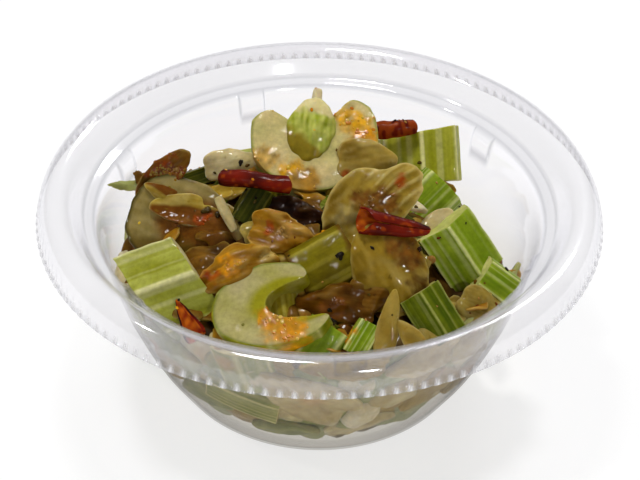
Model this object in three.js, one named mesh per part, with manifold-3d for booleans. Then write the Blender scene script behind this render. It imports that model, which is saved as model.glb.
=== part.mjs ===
import * as THREE from "three";
import { mergeVertices } from "three/addons/utils/BufferGeometryUtils.js";
import Module from "manifold-3d";

// A clear deli bowl with a heaped salad of pickled mustard stem, celery and dried chilli.
// Millimetres, +Z up, origin at the middle of the underside, front of the bowl towards -Y.

// ---- Bowl: one thin formed sheet, given as the path of its outer face (radius, height) ----
const SHEET = 0.6; // thickness of the plastic
const AROUND = 44; // facets round the bowl
const FOOT_RADIUS = 36;
const RIM_RADIUS = 72.5;
const BOWL_HEIGHT = 58.5;
const BOWL_PATH = [
  [0, 1.1],
  [26.5, 1.1],
  [28.5, 0],
  [FOOT_RADIUS, 0],
  [39.4, 1.4],
  [45.1, 11.3],
  [48.8, 19.4],
  [51.9, 27.8],
  [54.8, 38],
  [56.7, 48],
  [57.8, 50.2],
  [60.3, 50.6],
  [63, 55.2],
  [64.6, 57.2],
  [66.8, BOWL_HEIGHT - SHEET],
  [69, 57.1],
  [70.5, 54.9],
  [71.2, 52.4],
  [RIM_RADIUS - SHEET, 50.3],
];
const LUG = { wide: 7.3, tall: 6.4, deep: 1.1, top: 49.4 }; // pads that keep stacked bowls apart
const LUG_ANGLES = [-22, 38, 110.6, 158, 218, 278];

// ---- Food ----
const WALL_GAP = 0.4; // food to plastic
const PIECE_GAP = 0.4; // food to food
const HEAP_AROUND = 24;
const HEAP_RINGS = 7;
const HEAP_FLOOR = 2.2;

const PLASTIC = new THREE.MeshStandardMaterial({
  color: 0xe4e2ea,
  roughness: 0.08,
  metalness: 0,
  transparent: true,
  opacity: 0.3,
});
const LOOKS = {
  celery: { color: 0x9fb955, roughness: 0.4 },
  stem: { color: 0xa08a48, roughness: 0.25 },
  pale: { color: 0xcfc49a, roughness: 0.35 },
  dark: { color: 0x4a2a18, roughness: 0.2 },
  chilli: { color: 0x8a1c10, roughness: 0.3 },
  heap: { color: 0xa9935a, roughness: 0.45 },
};

const RAD = Math.PI / 180;
const wasm = await Module();
wasm.setup();

// A three.js geometry with its shared corners joined.
function joined(geometry) {
  const bare = geometry.clone();
  bare.deleteAttribute("normal");
  bare.deleteAttribute("uv");
  return mergeVertices(bare, 1e-3);
}

// A joined geometry as a manifold-3d body, turned outside in where its faces point inwards.
function bodyOf(geometry) {
  const merged = joined(geometry);
  const triVerts = new Uint32Array(merged.index.array);
  const vertProperties = merged.attributes.position.array;
  const body = new wasm.Manifold(new wasm.Mesh({ numProp: 3, vertProperties, triVerts }));
  if (body.volume() > 0) {
    return body;
  }
  for (let i = 0; i < triVerts.length; i += 3) {
    [triVerts[i + 1], triVerts[i + 2]] = [triVerts[i + 2], triVerts[i + 1]];
  }
  return new wasm.Manifold(new wasm.Mesh({ numProp: 3, vertProperties, triVerts }));
}

// A body with every face moved outwards by a gap. Each corner goes where its faces would meet
// again: the move d that best meets n . d = gap for the normals n of all the faces round it.
function grown(body, gap) {
  const made = body.getMesh();
  const corner = (i) => new THREE.Vector3().fromArray(made.vertProperties, i * made.numProp);
  const sums = Array.from({ length: made.numVert }, () => [new THREE.Vector3(), 0, 0, 0, 0, 0, 0]);
  for (let i = 0; i < made.triVerts.length; i += 3) {
    const three = [...made.triVerts.subarray(i, i + 3)];
    const n = new THREE.Triangle(...three.map(corner)).getNormal(new THREE.Vector3());
    for (const v of three) {
      const products = [n.x * n.x, n.y * n.y, n.z * n.z, n.x * n.y, n.x * n.z, n.y * n.z];
      sums[v][0].add(n);
      products.forEach((product, k) => {
        sums[v][k + 1] += product;
      });
    }
  }
  const vertProperties = new Float32Array(made.numVert * 3);
  sums.forEach(([b, xx, yy, zz, xy, xz, yz], v) => {
    const e = 0.02 * (xx + yy + zz);
    const turn = new THREE.Matrix3(xx + e, xy, xz, xy, yy + e, yz, xz, yz, zz + e).invert();
    const move = b.applyMatrix3(turn).multiplyScalar(gap).clampLength(0, 3 * gap);
    corner(v).add(move).toArray(vertProperties, v * 3);
  });
  return new wasm.Manifold(new wasm.Mesh({ numProp: 3, vertProperties, triVerts: made.triVerts }));
}

// The largest of the bodies that a cut leaves.
function largest(body) {
  return body.decompose().sort((a, b) => b.volume() - a.volume())[0];
}

function meshOf(body, name, look) {
  const made = body.getMesh();
  const geometry = new THREE.BufferGeometry();
  const points = new Float32Array(made.numVert * 3);
  for (let i = 0; i < made.numVert; i += 1) {
    points.set(made.vertProperties.subarray(i * made.numProp, i * made.numProp + 3), i * 3);
  }
  geometry.setAttribute("position", new THREE.BufferAttribute(points, 3));
  geometry.setIndex(new THREE.BufferAttribute(new Uint32Array(made.triVerts), 1));
  geometry.computeVertexNormals();
  const mesh = new THREE.Mesh(geometry, look);
  mesh.name = name;
  return mesh;
}

// Moves every corner of a geometry by a function of its place.
function shaped(geometry, rule) {
  const place = geometry.attributes.position;
  const p = new THREE.Vector3();
  for (let i = 0; i < place.count; i += 1) {
    p.fromBufferAttribute(place, i);
    rule(p);
    place.setXYZ(i, p.x, p.y, p.z);
  }
  return geometry;
}

// ---- Bowl ----
// The path moved sideways by a distance, to its left as it runs outwards (up, then inwards).
function offsetPath(path, distance) {
  return path.map(([r, z], i) => {
    const before = path[Math.max(i - 1, 0)];
    const after = path[Math.min(i + 1, path.length - 1)];
    const along = new THREE.Vector2(after[0] - before[0], after[1] - before[1]).normalize();
    const left = new THREE.Vector2(-along.y, along.x);
    return new THREE.Vector2(i === 0 ? 0 : r + left.x * distance, z + left.y * distance);
  });
}
const OUTER = offsetPath(BOWL_PATH, 0);
const INNER = offsetPath(BOWL_PATH, SHEET);

// Radius of the inner face at a height, below the ledge.
function wallRadius(height) {
  for (let i = 3; i < 10; i += 1) {
    const low = INNER[i];
    const high = INNER[i + 1];
    if (height <= high.y) {
      return low.x + ((high.x - low.x) * Math.max(height - low.y, 0)) / (high.y - low.y);
    }
  }
  return INNER[9].x;
}

function lathe(points, facets) {
  return new THREE.LatheGeometry(points, facets).rotateX(Math.PI / 2);
}

// Pads on the inner face just below the ledge; grow widens them on every side.
function lugs(grow) {
  return LUG_ANGLES.map((angle) => {
    const height = LUG.tall + 2 * grow;
    const pad = new THREE.BoxGeometry(LUG.deep * 2 + 2 * grow, LUG.wide + 2 * grow, height);
    shaped(pad, (p) => {
      p.z += LUG.top - LUG.tall / 2;
      p.x += wallRadius(p.z) + 0.2;
    });
    pad.rotateZ(angle * RAD);
    return bodyOf(pad);
  });
}

const sheet = bodyOf(lathe([...OUTER, ...[...INNER].reverse()], AROUND));
const outside = bodyOf(lathe([...OUTER.slice(0, 11), new THREE.Vector2(0, OUTER[10].y)], AROUND));
const bowl = wasm.Manifold.union([sheet, ...lugs(0).map((pad) => pad.intersect(outside))]);

// Room for food: inside the wall, the ledge and the pads, and open above.
const room = (() => {
  const wall = INNER.slice(0, 10).map((p) => {
    return new THREE.Vector2(Math.max(p.x - WALL_GAP, 0), p.y + WALL_GAP);
  });
  const top = wall[9].x;
  const path = [...wall, new THREE.Vector2(top, 90), new THREE.Vector2(0, 90)];
  return bodyOf(lathe(path, AROUND)).subtract(wasm.Manifold.union(lugs(WALL_GAP)));
})();

// ---- Pieces of food, each made about its own middle ----

// A chunk cut across a celery stalk. The wall is a ribbed arc, thickest in its middle, whose two
// edges are rounded. It lies with its rind up (+Z) and its ribs along Y; stand turns a cut face up.
function stalk(size) {
  const { radius, wall, half, long, ribs, ridge = 0.7, tip = 0.45, flare = 0, squash = 1 } = size;
  const { skew = [0, 0], bow = 0, steps = 1, stand = false } = size;
  const reach = half * RAD;
  const middle = radius - wall / 2;
  const point = (u, side) => {
    const t = u * (1.4 - 0.4 * u * u);
    const thin = (tip + (1 - tip) * (1 - t * t)) * Math.sqrt(Math.max(1 - t ** 8, 0));
    const r = middle * (1 + flare * t) + side * (wall / 2) * thin;
    return new THREE.Vector2(r * Math.sin(t * reach), r * Math.cos(t * reach) * squash);
  };
  const outline = [];
  for (let i = 0; i <= ribs * 2; i += 1) {
    const rib = point(i / ribs - 1, 1);
    const raised = 1 + (i % 2 === 0 ? ridge : -ridge * 0.4) / radius;
    outline.push(i % (ribs * 2) === 0 ? rib : rib.multiplyScalar(raised));
  }
  const inner = Math.max(ribs, 4);
  for (let i = inner - 1; i > 0; i -= 1) {
    const face = point((2 * i) / inner - 1, -1);
    outline.push(face.length() < 0.4 ? face.setLength(0.4) : face);
  }
  const cut = new THREE.Shape(outline);
  const chunk = new THREE.ExtrudeGeometry(cut, { depth: long, steps, bevelEnabled: false });
  shaped(chunk, (p) => {
    const s = p.z / long - 0.5;
    p.z = s * long + p.x * (skew[1] * (0.5 + s) + skew[0] * (0.5 - s));
    p.y += bow * s * s * 4 - middle * squash;
  });
  return stand ? chunk : chunk.rotateX(Math.PI / 2);
}

// A slice of pickled stem: a flattened round whose edge is lobed and whose face is cupped,
// folded and wavy.
function slice(size) {
  const { long, wide, thick, lobes = 3, lobe = 0.12, turn = 0, cup = 0, fold = 0 } = size;
  const { wave = 0.6, flat = 0.55 } = size;
  const ball = new THREE.SphereGeometry(1, 12, 5).rotateX(Math.PI / 2);
  return shaped(ball, (p) => {
    const angle = Math.atan2(p.y, p.x);
    const edge = 1 + lobe * Math.cos(lobes * angle + turn) + lobe * 0.5 * Math.cos(5 * angle - turn);
    const level = Math.sign(p.z) * Math.abs(p.z) ** flat;
    const x = p.x * (long / 2) * edge;
    const y = p.y * (wide / 2) * edge;
    const s = (2 * x) / long;
    const t = (2 * y) / wide;
    const rise = cup * (s * s + t * t) + fold * t * t + wave * Math.sin(2.4 * s + turn) * Math.cos(2 * t);
    p.set(x, y, level * (thick / 2) + rise);
  });
}

// A length of dried chilli along X: an open, flattened shell that narrows to one end.
function chilli(size) {
  const { long, wide, half = 150, wall = 0.8, narrow = 0.5, bend = 0, flat = 0.7 } = size;
  const outline = [];
  const facets = 7;
  const add = (r, i) => {
    const a = ((2 * i) / facets - 1) * half * RAD;
    outline.push(new THREE.Vector2(r * Math.sin(a), r * Math.cos(a)));
  };
  for (let i = 0; i <= facets; i += 1) {
    add(wide / 2, i);
  }
  for (let i = facets; i >= 0; i -= 1) {
    add(wide / 2 - wall, i);
  }
  const cut = new THREE.Shape(outline);
  const shell = new THREE.ExtrudeGeometry(cut, { depth: long, steps: 2, bevelEnabled: false });
  return shaped(shell, (p) => {
    const s = (2 * p.z) / long - 1;
    const shrink = 1 - narrow * (0.5 + 0.5 * s) ** 2;
    p.set(p.z - long / 2, p.x * shrink, -p.y * shrink * flat + bend * s * s);
  });
}

// A pale sliver along X, pointed at one end.
function sliver(size) {
  const { long, wide, thick, bend = 0 } = size;
  const ball = new THREE.SphereGeometry(1, 8, 5).rotateZ(Math.PI / 2);
  return shaped(ball, (p) => {
    const s = p.x;
    const taper = 0.62 - 0.38 * s;
    const y = p.y * (wide / 2) * (taper + 0.3);
    p.set(s * (long / 2), y + bend * s * s, p.z * (thick / 2) * (taper + 0.3));
  });
}

const MAKERS = { stalk, slice, chilli, sliver };

// toward: which way the piece's face looks round the bowl (0 is the front, 90 is +X);
// lean: how far it tips from facing straight up; spin: its turn within its own face.
function posed(geometry, [toward, lean, spin]) {
  return geometry
    .rotateZ(spin * RAD)
    .rotateX(lean * RAD)
    .rotateZ(toward * RAD);
}

// Earlier pieces keep their shape; later ones are cut clear of them.
const PIECES = [
  {
    name: "chilli_middle",
    look: "chilli",
    make: "chilli",
    size: { long: 17, wide: 6.4, half: 125, narrow: 0.62, bend: 0.5 },
    at: [17.5, -27.5, 65],
    pose: [0, 40, -8],
  },
  {
    name: "chilli_left",
    look: "chilli",
    make: "chilli",
    size: { long: 17.5, wide: 4.6, half: 172, narrow: 0.1, bend: 0.6, flat: 0.85 },
    at: [-16, -8.9, 64],
    pose: [0, 52, -6],
  },
  {
    name: "chilli_back",
    look: "chilli",
    make: "chilli",
    size: { long: 11, wide: 4.4, half: 172, narrow: 0.15, bend: -0.4, flat: 0.9 },
    at: [19, 15.5, 64],
    pose: [0, 52, 8],
  },
  {
    name: "stem_strip_left",
    look: "pale",
    make: "sliver",
    size: { long: 9.5, wide: 3, thick: 2 },
    at: [-23, -15.3, 58.5],
    pose: [0, 45, -63],
  },
  {
    name: "stem_fold_middle",
    look: "stem",
    make: "slice",
    size: { long: 29, wide: 17, thick: 2.6, lobes: 3, turn: 1, cup: -1.2, fold: 2, wave: 1.2 },
    at: [12, -17, 62.8],
    pose: [0, 45, 40],
  },
  {
    name: "stem_clear_back",
    look: "pale",
    make: "slice",
    size: { long: 15, wide: 11, thick: 2.6, lobes: 3, wave: 0.4 },
    at: [11, 2.2, 63.2],
    pose: [0, 45, 0],
  },
  {
    name: "celery_heart_back",
    look: "celery",
    make: "slice",
    size: { long: 16, wide: 13, thick: 8, lobes: 2, lobe: 0.06, flat: 0.4, wave: 0 },
    at: [-2.6, 10.6, 66.1],
    pose: [0, 40, 80],
  },
  {
    name: "celery_crescent_back",
    look: "celery",
    make: "stalk",
    size: { radius: 16.2, wall: 10, half: 126, long: 9, ribs: 7, tip: 1.05, ridge: 0.4, stand: true },
    at: [-0.3, 2.5, 57.1],
    pose: [0, 32, 188],
  },
  {
    name: "celery_front",
    look: "celery",
    make: "stalk",
    size: {
      radius: 12,
      wall: 9,
      half: 132,
      long: 12,
      ribs: 7,
      ridge: 0.4,
      flare: -0.25,
      squash: 1.5,
      stand: true,
    },
    at: [-17.5, -40.5, 46.6],
    pose: [-28, 27, 125],
  },
  {
    name: "stem_lobe_middle",
    look: "stem",
    make: "slice",
    size: { long: 23, wide: 19, thick: 6, lobes: 2, lobe: 0.05, turn: 1, wave: 0.5 },
    at: [16.8, -32.5, 55.8],
    pose: [5, 50, -60],
  },
  {
    name: "celery_middle",
    look: "celery",
    make: "stalk",
    size: { radius: 9, wall: 7, half: 72, long: 15.5, ribs: 3, steps: 2, bow: -1 },
    at: [3, -32.4, 54],
    pose: [0, 50, -64],
  },
  {
    name: "celery_left",
    look: "celery",
    make: "stalk",
    size: { radius: 17, wall: 8, half: 60, long: 15, ribs: 4, steps: 2, bow: -0.4, skew: [-0.32, -0.32] },
    at: [-36, -33.6, 50.9],
    pose: [-8, 45, -64],
  },
  {
    name: "celery_right",
    look: "celery",
    make: "stalk",
    size: { radius: 12, wall: 8, half: 60, long: 16, ribs: 4, steps: 2, bow: -0.4 },
    at: [34.9, -20.8, 52.7],
    pose: [13, 62, 29],
  },
  {
    name: "celery_low_right",
    look: "celery",
    make: "stalk",
    size: { radius: 9.2, wall: 7, half: 56, long: 13, ribs: 4 },
    at: [27.3, -40.5, 48.6],
    pose: [5, 52, 30],
  },
  {
    name: "celery_far_right",
    look: "celery",
    make: "stalk",
    size: { radius: 8, wall: 6, half: 52, long: 9.5, ribs: 3 },
    at: [43.5, -26.5, 47.5],
    pose: [20, 60, 45],
  },
  {
    name: "celery_back_right",
    look: "celery",
    make: "stalk",
    size: { radius: 17.5, wall: 7, half: 50, long: 13.2, ribs: 4, steps: 2, bow: -0.3, skew: [-0.12, 0] },
    at: [26.3, 15.7, 54.9],
    pose: [4, 52, 2],
  },
  {
    name: "celery_under_right",
    look: "celery",
    make: "stalk",
    size: { radius: 9.5, wall: 5.5, half: 58, long: 14, ribs: 3 },
    at: [27.2, 3.5, 47.9],
    pose: [10, 48, -51],
  },
  {
    name: "sliver_spike",
    look: "pale",
    make: "sliver",
    size: { long: 17, wide: 5.5, thick: 2.6 },
    at: [16.5, -47, 51],
    pose: [0, 50, 80],
  },
  {
    name: "sliver_front",
    look: "pale",
    make: "sliver",
    size: { long: 9, wide: 5, thick: 2.4 },
    at: [21.5, -49, 49.5],
    pose: [0, 50, 130],
  },
  {
    name: "sliver_top",
    look: "pale",
    make: "sliver",
    size: { long: 12, wide: 3.2, thick: 2.2, bend: 0.4 },
    at: [-1.8, 19.3, 66.8],
    pose: [0, 52, 78],
  },
  {
    name: "sliver_right",
    look: "pale",
    make: "sliver",
    size: { long: 6, wide: 3, thick: 2 },
    at: [24.5, -5, 54],
    pose: [0, 45, -25],
  },
  {
    name: "chilli_shard",
    look: "chilli",
    make: "chilli",
    size: { long: 10, wide: 7, half: 60, narrow: 0.8, wall: 1.2 },
    at: [-31.2, -43.5, 48.4],
    pose: [-20, 50, 130],
  },
  {
    name: "celery_small_front",
    look: "celery",
    make: "stalk",
    size: { radius: 5.5, wall: 4, half: 58, long: 8.5, ribs: 3 },
    at: [10.5, -48.5, 47.5],
    pose: [0, 45, -30],
  },
  {
    name: "stem_curl_left",
    look: "dark",
    make: "slice",
    size: { long: 18, wide: 8, thick: 3, lobes: 2, lobe: 0.05, fold: 1.6, cup: 0.6 },
    at: [-39.5, -1.2, 59.5],
    pose: [-15, 60, 50],
  },
  {
    name: "stem_amber_left",
    look: "stem",
    make: "slice",
    size: { long: 22, wide: 8.5, thick: 2.6, lobes: 2, lobe: 0.05, wave: 0.8 },
    at: [-31, -10, 55.2],
    pose: [0, 38, -8],
  },
  {
    name: "stem_cup_left",
    look: "stem",
    make: "slice",
    size: { long: 31, wide: 23, thick: 4, lobes: 3, cup: 1.2, wave: 0.6 },
    at: [-34, -11, 51.5],
    pose: [-12, 45, -14],
  },
  {
    name: "stem_amber_upper",
    look: "stem",
    make: "slice",
    size: { long: 15, wide: 9.5, thick: 3.2, lobes: 3, wave: 0.5 },
    at: [-10, -22, 58.2],
    pose: [0, 40, -12],
  },
  {
    name: "stem_amber_lower",
    look: "stem",
    make: "slice",
    size: { long: 20, wide: 9.5, thick: 3.2, lobes: 2, wave: 0.8, cup: -0.8 },
    at: [-19, -33, 56],
    pose: [0, 42, 22],
  },
  {
    name: "celery_small_middle",
    look: "celery",
    make: "stalk",
    size: { radius: 7, wall: 4.5, half: 52, long: 10, ribs: 3 },
    at: [-16.8, -10, 57],
    pose: [0, 45, -30],
  },
  {
    name: "celery_small_left",
    look: "celery",
    make: "stalk",
    size: { radius: 5, wall: 4, half: 50, long: 8, ribs: 3 },
    at: [-31.5, 6.5, 53.5],
    pose: [0, 50, -70],
  },
  {
    name: "stem_dark_middle",
    look: "dark",
    make: "slice",
    size: { long: 15, wide: 8, thick: 5, lobes: 2, wave: 0.4 },
    at: [-6.9, -11.5, 56],
    pose: [0, 40, -8],
  },
  {
    name: "stem_dark_low",
    look: "dark",
    make: "slice",
    size: { long: 18, wide: 9, thick: 4, lobes: 3, wave: 0.6 },
    at: [5, -39.5, 50.5],
    pose: [0, 40, -5],
  },
  {
    name: "stem_round_low",
    look: "stem",
    make: "slice",
    size: { long: 10, wide: 9, thick: 5, lobes: 2, wave: 0.2 },
    at: [12, -37, 51.5],
    pose: [0, 45, 0],
  },
  {
    name: "stem_olive_right",
    look: "stem",
    make: "slice",
    size: { long: 11, wide: 9, thick: 4, lobes: 3, wave: 0.4 },
    at: [38.5, -34.5, 46.5],
    pose: [20, 50, -40],
  },
  {
    name: "stem_pale_back",
    look: "pale",
    make: "slice",
    size: { long: 14, wide: 8, thick: 2.2, lobes: 3, wave: 0.6 },
    at: [-23.5, 4.5, 59.5],
    pose: [0, 48, 12],
  },
  {
    name: "celery_behind_left",
    look: "celery",
    make: "stalk",
    size: { radius: 12, wall: 7, half: 55, long: 13, ribs: 4 },
    at: [-17, 25, 46],
    pose: [-160, 35, 30],
  },
  {
    name: "stem_behind_middle",
    look: "stem",
    make: "slice",
    size: { long: 22, wide: 15, thick: 3.5, lobes: 3, wave: 0.8, cup: -1 },
    at: [1, 25, 48],
    pose: [180, 42, 15],
  },
  {
    name: "celery_behind_right",
    look: "celery",
    make: "stalk",
    size: { radius: 11, wall: 7, half: 55, long: 12, ribs: 4 },
    at: [20, 29, 39],
    pose: [165, 42, -35],
  },
  {
    name: "stem_behind_low",
    look: "stem",
    make: "slice",
    size: { long: 20, wide: 13, thick: 4, lobes: 3, wave: 0.6, cup: 1 },
    at: [-9, 34, 31],
    pose: [190, 42, -20],
  },
];

const pile = [];
for (const piece of PIECES) {
  const whole = bodyOf(posed(MAKERS[piece.make](piece.size), piece.pose).translate(...piece.at));
  const taken = pile.map((earlier) => earlier.clear);
  const body = largest(whole.intersect(room).subtract(wasm.Manifold.union(taken)));
  pile.push({ ...piece, body: body.simplify(0.18), clear: grown(whole, PIECE_GAP).simplify(0.1) });
}

// ---- Heap: the small pieces under and between the large ones, to their uneven top ----
function heapTop(x, y) {
  const mound = 9.5 * Math.exp(-(((x + 2) / 32) ** 4) - ((y + 10) / 26) ** 4);
  const back = 0.95 * Math.max(y - 16, 0);
  const left = 0.8 * Math.max(-x - 38, 0) * (y > -22 ? 1 : 0.3);
  const right = 2.2 * Math.max(x - 36 + 0.25 * Math.max(y, 0), 0) * (y > -16 ? 1 : 0);
  const bumps = 1.1 * Math.sin(x / 4.3 + 1) * Math.cos(y / 3.9) + 0.7 * Math.sin((x - y) / 5.7);
  return Math.max(47 + mound - back - left - right + bumps, 12);
}

const heapPath = [[0, 0], [0.6, 0], [1, 0], [1, 0.25], [1, 0.5], [1, 0.75], [1, 1]];
for (let i = 1; i <= HEAP_RINGS; i += 1) {
  heapPath.push([1 - i / HEAP_RINGS, 1]);
}
const heapGeometry = lathe(heapPath.map(([r, z]) => new THREE.Vector2(r, z)), HEAP_AROUND);
shaped(heapGeometry, (p) => {
  const share = Math.hypot(p.x, p.y);
  const angle = Math.atan2(p.y, p.x);
  const probe = wallRadius(40) - 2;
  const edge = Math.min(heapTop(probe * Math.cos(angle), probe * Math.sin(angle)), 47.5);
  const height = HEAP_FLOOR + (edge - HEAP_FLOOR) * p.z;
  const radius = (wallRadius(height) - WALL_GAP - 0.1) * share;
  const x = radius * Math.cos(angle);
  const y = radius * Math.sin(angle);
  const inner = p.z === 1 && share < 0.999;
  p.set(x, y, inner ? heapTop(x, y) : height);
});
const taken = [...pile.map((piece) => piece.clear), ...lugs(WALL_GAP)];
const heap = largest(bodyOf(heapGeometry).subtract(wasm.Manifold.union(taken))).simplify(0.42);

const part = new THREE.Group();
part.add(meshOf(bowl, "bowl", PLASTIC));
for (const piece of pile) {
  const look = new THREE.MeshStandardMaterial({ ...LOOKS[piece.look], metalness: 0 });
  part.add(meshOf(piece.body, piece.name, look));
}
part.add(meshOf(heap, "salad_heap", new THREE.MeshStandardMaterial({ ...LOOKS.heap, metalness: 0 })));

export default part;
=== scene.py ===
import bpy
import numpy as np
from mathutils import Matrix, Vector


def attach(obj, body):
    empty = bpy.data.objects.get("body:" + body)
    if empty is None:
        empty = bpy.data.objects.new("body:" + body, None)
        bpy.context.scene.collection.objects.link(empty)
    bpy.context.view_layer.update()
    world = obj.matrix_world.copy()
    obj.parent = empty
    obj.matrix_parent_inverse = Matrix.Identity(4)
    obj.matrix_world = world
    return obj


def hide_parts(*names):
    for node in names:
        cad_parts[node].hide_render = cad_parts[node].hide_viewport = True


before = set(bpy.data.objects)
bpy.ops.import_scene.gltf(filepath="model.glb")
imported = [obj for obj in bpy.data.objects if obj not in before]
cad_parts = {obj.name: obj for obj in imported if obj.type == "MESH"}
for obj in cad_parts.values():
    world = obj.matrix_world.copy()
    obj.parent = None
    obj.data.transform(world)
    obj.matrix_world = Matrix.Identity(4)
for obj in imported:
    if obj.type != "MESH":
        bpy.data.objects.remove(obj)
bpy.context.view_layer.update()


# ---- Table, lights and camera ----
# The bowl stands on a plain white table under soft overhead light, with small hard lamps that
# give wet food its glints. Sizes in this section are metres.
MM = 0.001
RAD = np.pi / 180
SCREEN_GREY = 0.04045


def linear(red, green, blue):
    """A colour given as 0 to 255 on a screen, turned into linear light."""
    share = np.array([red, green, blue]) / 255
    return np.where(share < SCREEN_GREY, share / 12.92, ((share + 0.055) / 1.055) ** 2.4)


def placed(name, data):
    """An object of that data, linked into the scene."""
    made = bpy.data.objects.new(name, data)
    bpy.context.scene.collection.objects.link(made)
    return made


def nodes_of(owner):
    """A way to add nodes to the emptied tree of a material or world. It gives a new node's
    output, the first one unless out names it. Lower-case words are the node's settings, and
    the others are its inputs, by name or as an i and a number."""
    owner.use_nodes = True
    tree = owner.node_tree
    tree.nodes.clear()

    def add(kind, out=0, **words):
        node = tree.nodes.new("ShaderNode" + kind)
        for word, value in words.items():
            numbered = word[1:].isdigit()
            if word[0].islower() and not numbered:
                setattr(node, word, value)
                continue
            socket = node.inputs[int(word[1:]) if numbered else word.replace("_", " ")]
            if isinstance(value, bpy.types.NodeSocket):
                tree.links.new(value, socket)
            else:
                socket.default_value = value
        return node.outputs[out] if len(node.outputs) else None

    return add


table_mesh = bpy.data.meshes.new("table")
table_mesh.from_pydata([(-3, -3, 0), (3, -3, 0), (3, 3, 0), (-3, 3, 0)], [], [(0, 1, 2, 3)])
table = placed("table", table_mesh)
table_white = bpy.data.materials.new("table_white")
add = nodes_of(table_white)
cloud = add("TexNoise", Vector=add("TexCoord", "Object"), Scale=3.0, Detail=2.0)
shade = add("MixRGB", i0=cloud, i1=(0.34, 0.34, 0.345, 1), i2=(0.36, 0.36, 0.36, 1))
matt = add(
    "BsdfPrincipled", Base_Color=shade, Roughness=0.7, Emission_Color=(1, 1, 1, 1), Emission_Strength=0.7
)
add("OutputMaterial", Surface=matt)
table.data.materials.append(table_white)


def lamp(name, place, aim_height, size, power, wide=1):
    """A soft lamp turned to face the bowl: size is its height in metres, and it is wide times
    as wide as that."""
    data = bpy.data.lights.new(name, "AREA")
    data.shape = "RECTANGLE"
    data.size = size * wide
    data.size_y = size
    data.energy = power
    holder = placed(name, data)
    holder.location = place
    holder.rotation_euler = (Vector((0, 0, aim_height)) - Vector(place)).to_track_quat("-Z", "Y").to_euler()


lamp("overhead", (-0.12, 0.12, 1.05), 0.04, 0.17, 4.9)
lamp("back_right", (0.36, 0.95, 0.97), 0.04, 0.11, 4.4, wide=5)
lamp("front_right", (0.3, -0.85, 0.6), 0.04, 0.09, 2.2)
lamp("left", (-0.6, -0.1, 0.7), 0.05, 0.06, 1.2)

world = bpy.data.worlds.new("studio")
bpy.context.scene.world = world
add = nodes_of(world)
height = add("SeparateXYZ", "Z", i0=add("TexCoord", "Generated"))
upward = add("MapRange", Value=height, From_Max=0.8)
sky = add("MixRGB", i0=upward, i1=(0.30, 0.30, 0.32, 1), i2=(0.85, 0.85, 0.87, 1))
add("OutputWorld", Surface=add("Background", Color=sky, Strength=0.15))

CAMERA_RISE = 37.94 * RAD
CAMERA_ROLL = 0.95 * RAD
CAMERA_AIM = Vector((0.0002, 0, 0.039))
CAMERA_REACH = 0.42
camera_data = bpy.data.cameras.new("camera")
camera_data.lens = 90.6
camera_data.sensor_width = 36
camera = placed("camera", camera_data)
away = Vector((0, -np.cos(CAMERA_RISE), np.sin(CAMERA_RISE)))
camera.location = CAMERA_AIM + away * CAMERA_REACH
tilt = Matrix.Rotation(np.pi / 2 - CAMERA_RISE, 3, "X") @ Matrix.Rotation(CAMERA_ROLL, 3, "Z")
camera.rotation_euler = tilt.to_euler()
bpy.context.scene.camera = camera
bpy.context.scene.view_settings.view_transform = "Standard"


# ---- Bowl ----
# One sheet of clear plastic drawn down into a mould: a foot, a rounded body, a ledge for the
# lid, a sloped collar and a rolled rim whose skirt is pressed into fine teeth for grip.
# It is one profile carried round the middle, with the sheet's own thickness inside it.
SHEET = 0.45
BOWL_PATH = np.array([
    (0, 1.1), (26.5, 1.1), (28.5, 0), (36, 0), (39.4, 1.4), (45.1, 11.3), (48.8, 19.4),
    (51.9, 27.8), (54.8, 38), (56.7, 48), (57.8, 50.2), (60.3, 50.6), (63, 55.2), (64.6, 57.2),
    (66.8, 57.9), (69, 57.1), (70.5, 54.9), (71.2, 52.4), (71.9, 50.3),
])
STEP = 0.1
LEDGE = 50
RIM_REACH = 72.4
TEETH = 138
TOOTH = 0.32
LUG = {"wide": 7.3, "tall": 6.4, "deep": 0.9, "top": 49.4, "soft": 0.4, "reach": 57}
LUG_ANGLES = (-22, 38, 110.6, 158, 218, 278)


def smooth_step(low, high, value):
    """0 below low, 1 above high, and an S-shaped rise between them."""
    share = np.clip((value - low) / (high - low), 0, 1)
    return share * share * (3 - 2 * share)


def rounded_path(path, corner, count):
    """The path with its corners rounded: cut into short steps, each point is averaged twice
    with its neighbours over the corner length. Then it is read at stations, which lie closer
    where it turns. Also gives how sharply it turns at each."""
    run = np.concatenate([[0], np.cumsum(np.hypot(*np.diff(path, axis=0).T))])
    fine = np.arange(0, run[-1], STEP)
    points = np.stack([np.interp(fine, run, path[:, k]) for k in (0, 1)], axis=1)
    width = int(corner / STEP)
    for _ in range(2):
        padded = np.pad(points, ((width, width), (0, 0)), mode="reflect", reflect_type="odd")
        total = np.cumsum(np.vstack([np.zeros((1, 2)), padded]), axis=0)
        points = (total[2 * width + 1:] - total[:-2 * width - 1]) / (2 * width + 1)
    way = np.unwrap(np.arctan2(*np.gradient(points, axis=0).T[::-1]))
    turning = np.abs(np.gradient(way)) / STEP
    reading = np.cumsum(0.3 + turning)
    stations = np.interp(np.linspace(reading[0], reading[-1], count), reading, fine)
    return np.stack([np.interp(stations, fine, track) for track in (*points.T, turning)], axis=1)


def offset_path(path, distance):
    """The path moved sideways, to the left of the way that it runs."""
    along = np.gradient(path, axis=0)
    along /= np.linalg.norm(along, axis=1, keepdims=True)
    return path + distance * np.stack([-along[:, 1], along[:, 0]], axis=1)


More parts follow.
